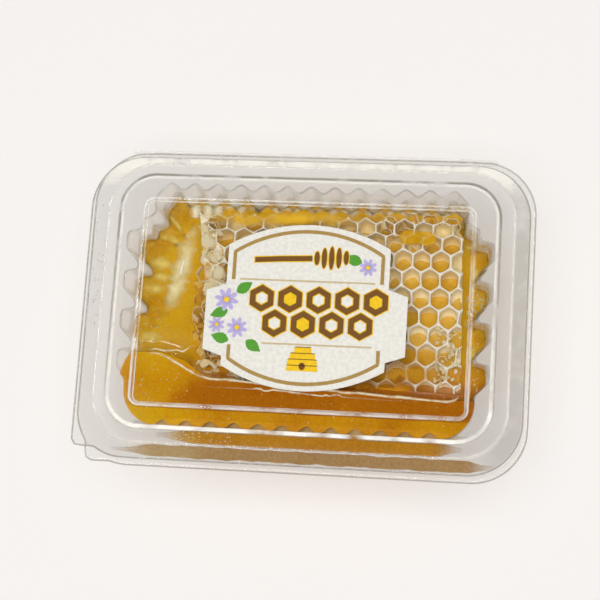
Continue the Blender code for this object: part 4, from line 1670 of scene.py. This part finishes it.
def hive(shape):
    dome, bands = [], []
    for layer, half in enumerate(shape["hive"]):
        y = shape["hiveFoot"] + shape["hiveLayer"] * layer
        dome.append([(-half, y), (half, y), (half - 0.3, y + 1.55), (0.3 - half, y + 1.55)])
        bands.append([(-half, y + 1.5), (half, y + 1.5), (half - 0.5, y + 1.75), (0.5 - half, y + 1.75)])
    bands.append(oval(0.0, -17.0, 0.9, 1.1))
    return dome, bands


def printLayers(shape):
    border = []
    for end, turned in zip(shape["frameEnds"], (1, -1)):
        border += ribbon([(x, turned * y) for x, y in framePath(shape, end)], shape["frameWidth"])
    yellow, brown = hive(shape)
    radius = shape["hexRadius"]
    for x, y in shape["hexSpots"]:
        yellow.append(hexagon(x, y, radius))
        brown += hoop(x, y, radius - 0.35, radius - 2.25)
    lilac, hearts = [], []
    for x, y, size in shape["flowers"]:
        for petal in range(shape["petals"]):
            degrees = 360.0 / shape["petals"] * petal + 10.0 * size
            angle, reach = math.radians(degrees), 0.58 * size
            lilac.append(oval(x + reach * math.cos(angle), y + reach * math.sin(angle),
                              0.44 * size, 0.2 * size, degrees, 14))
        hearts.append(oval(x, y, 0.24 * size, 0.24 * size, 0.0, 12))
    blanks = [hexagon(x, y, radius - 2.6) for number, (x, y) in enumerate(shape["hexSpots"])
              if number not in shape["filled"]]
    rules = [quad for y, x, end in shape["rules"] for quad in ribbon([(x, y), (end, y)], shape["ruleWidth"])]
    return (
        ("labelRules", "labelPale", rules),
        ("labelFrame", "labelGold", border),
        ("labelLeaves", "labelGreen", [leaf(*spot) for spot in shape["leaves"]]),
        ("labelComb", "labelYellow", yellow + dipper(shape, 0.27)),
        ("labelCells", "labelBrown", brown + dipper(shape, 0.0)),
        ("labelBlanks", "labelPaper", blanks),
        ("labelPetals", "labelLilac", lilac),
        ("labelHearts", "labelYellow", hearts),
    )


def makePrint(shape):
    materials = {name: makePaint(name, paperColour, {**paperLook, "colour": colour})
                 for name, colour in printColours.items()}
    materials["labelPaper"] = paperMaterial
    centreX, centreY = labelShape["centre"]
    for layer, (name, colour, outlines) in enumerate(printLayers(shape)):
        z = labelShape["bottom"] + labelShape["thickness"] + shape["lift"] * (layer + 1)
        parts = [([(x + centreX, y + centreY, z) for x, y in outline], [tuple(range(len(outline)))])
                 for outline in outlines]
        mesh = meshFrom(name, *joined(parts), smooth=False)
        addPiece(name, mesh, "lid", "label_paper", materials[colour])


makePrint(printShape)
print("print made")


# Camera, lights and floor

studio = {
    "target": (0.0, 0.0, 28.0),
    "towardsCamera": (0.1359, -0.1791, 0.9744),
    "up": (-0.0402, 0.9817, 0.186),
    "distance": 449.3,
    "lens": 94.2,
    "shift": (-0.0057, 0.0132),
    "floorHalf": 1500.0,
    "floor": (0.45, 0.4375, 0.4275),
    "floorGlow": (0.93, 0.90, 0.875),
    "floorGlowStrength": 0.5,
    "worldLow": (1.0, 0.98, 0.96),
    "worldHigh": (0.03, 0.03, 0.03),
    "worldFrom": (0.30, 0.60),
    "worldStrength": 0.80,
}
lamps = {
    "topSoft": {"place": (0, -60, 900), "size": (800, 800), "watts": 8.8, "mirrored": False, "fills": True},
    "backStrip": {"place": (-40, 520, 62), "size": (600, 56), "watts": 1.5, "mirrored": True, "fills": False},
    "leftStrip": {"place": (-540, 40, 62), "size": (420, 56), "watts": 1.0, "mirrored": True, "fills": False},
    "rightStrip": {"place": (540, 60, 62), "size": (420, 56), "watts": 1.0, "mirrored": True, "fills": False},
    "frontStrip": {"place": (60, -520, 62), "size": (600, 56), "watts": 1.2, "mirrored": True,
                   "fills": False},
}


def makeCamera(look):
    back = Vector(look["towardsCamera"]).normalized()
    up = Vector(look["up"])
    up = (up - back * up.dot(back)).normalized()
    data = bpy.data.cameras.new("photoCamera")
    data.lens = look["lens"]
    data.sensor_width = 36.0
    data.shift_x, data.shift_y = look["shift"]
    data.clip_start = 0.01
    place = middle + (Vector(look["target"]) + back * look["distance"]) * mm
    camera = addObject("photoCamera", data, place)
    turn = Matrix((up.cross(back), up, back)).transposed().to_4x4()
    camera.matrix_world = Matrix.Translation(place) @ turn
    bpy.context.scene.camera = camera


def makeLamps(table):
    aim = middle + Vector((0.0, 0.0, 0.02))
    for name, lamp in table.items():
        data = bpy.data.lights.new(name, "AREA")
        data.shape = "RECTANGLE"
        data.size, data.size_y = lamp["size"][0] * mm, lamp["size"][1] * mm
        data.energy = lamp["watts"]
        place = middle + Vector(lamp["place"]) * mm
        light = addObject(name, data, place)
        light.rotation_euler = (aim - place).to_track_quat("-Z", "Y").to_euler()
        light.visible_glossy = lamp["mirrored"]
        light.visible_diffuse = lamp["fills"]


def makeFloor(look):
    half = look["floorHalf"]
    corners = [(-half, -half, 0.0), (half, -half, 0.0), (half, half, 0.0), (-half, half, 0.0)]
    material, tree = newMaterial("paleFloor")
    addNode(tree, "OutputMaterial", {"Surface": shaderOf(tree, "BsdfPrincipled", {
        "Base Color": look["floor"], "Roughness": 0.8, "Specular IOR Level": 0.1,
        "Emission Color": look["floorGlow"], "Emission Strength": look["floorGlowStrength"]})})
    mesh = meshFrom("paleFloor", corners, [(0, 1, 2, 3)])
    mesh.materials.append(material)
    addObject("paleFloor", mesh, (0.0, 0.0, 0.0))


def makeWorld(look):
    world = bpy.data.worlds.new("paleStudio")
    bpy.context.scene.world = world
    world.use_nodes = True
    tree = world.node_tree
    tree.nodes.clear()
    height = addNode(tree, "SeparateXYZ", {0: addNode(tree, "TexCoord").outputs["Generated"]}).outputs["Z"]
    tone = mixColours(tree, rampBetween(tree, height, look["worldFrom"]), look["worldLow"], look["worldHigh"])
    shade = shaderOf(tree, "Background", {"Color": tone, "Strength": look["worldStrength"]})
    addNode(tree, "OutputWorld", {"Surface": shade})


makeCamera(studio)
makeLamps(lamps)
makeFloor(studio)
makeWorld(studio)
bpy.context.scene.view_settings.view_transform = "Standard"
print("studio made")
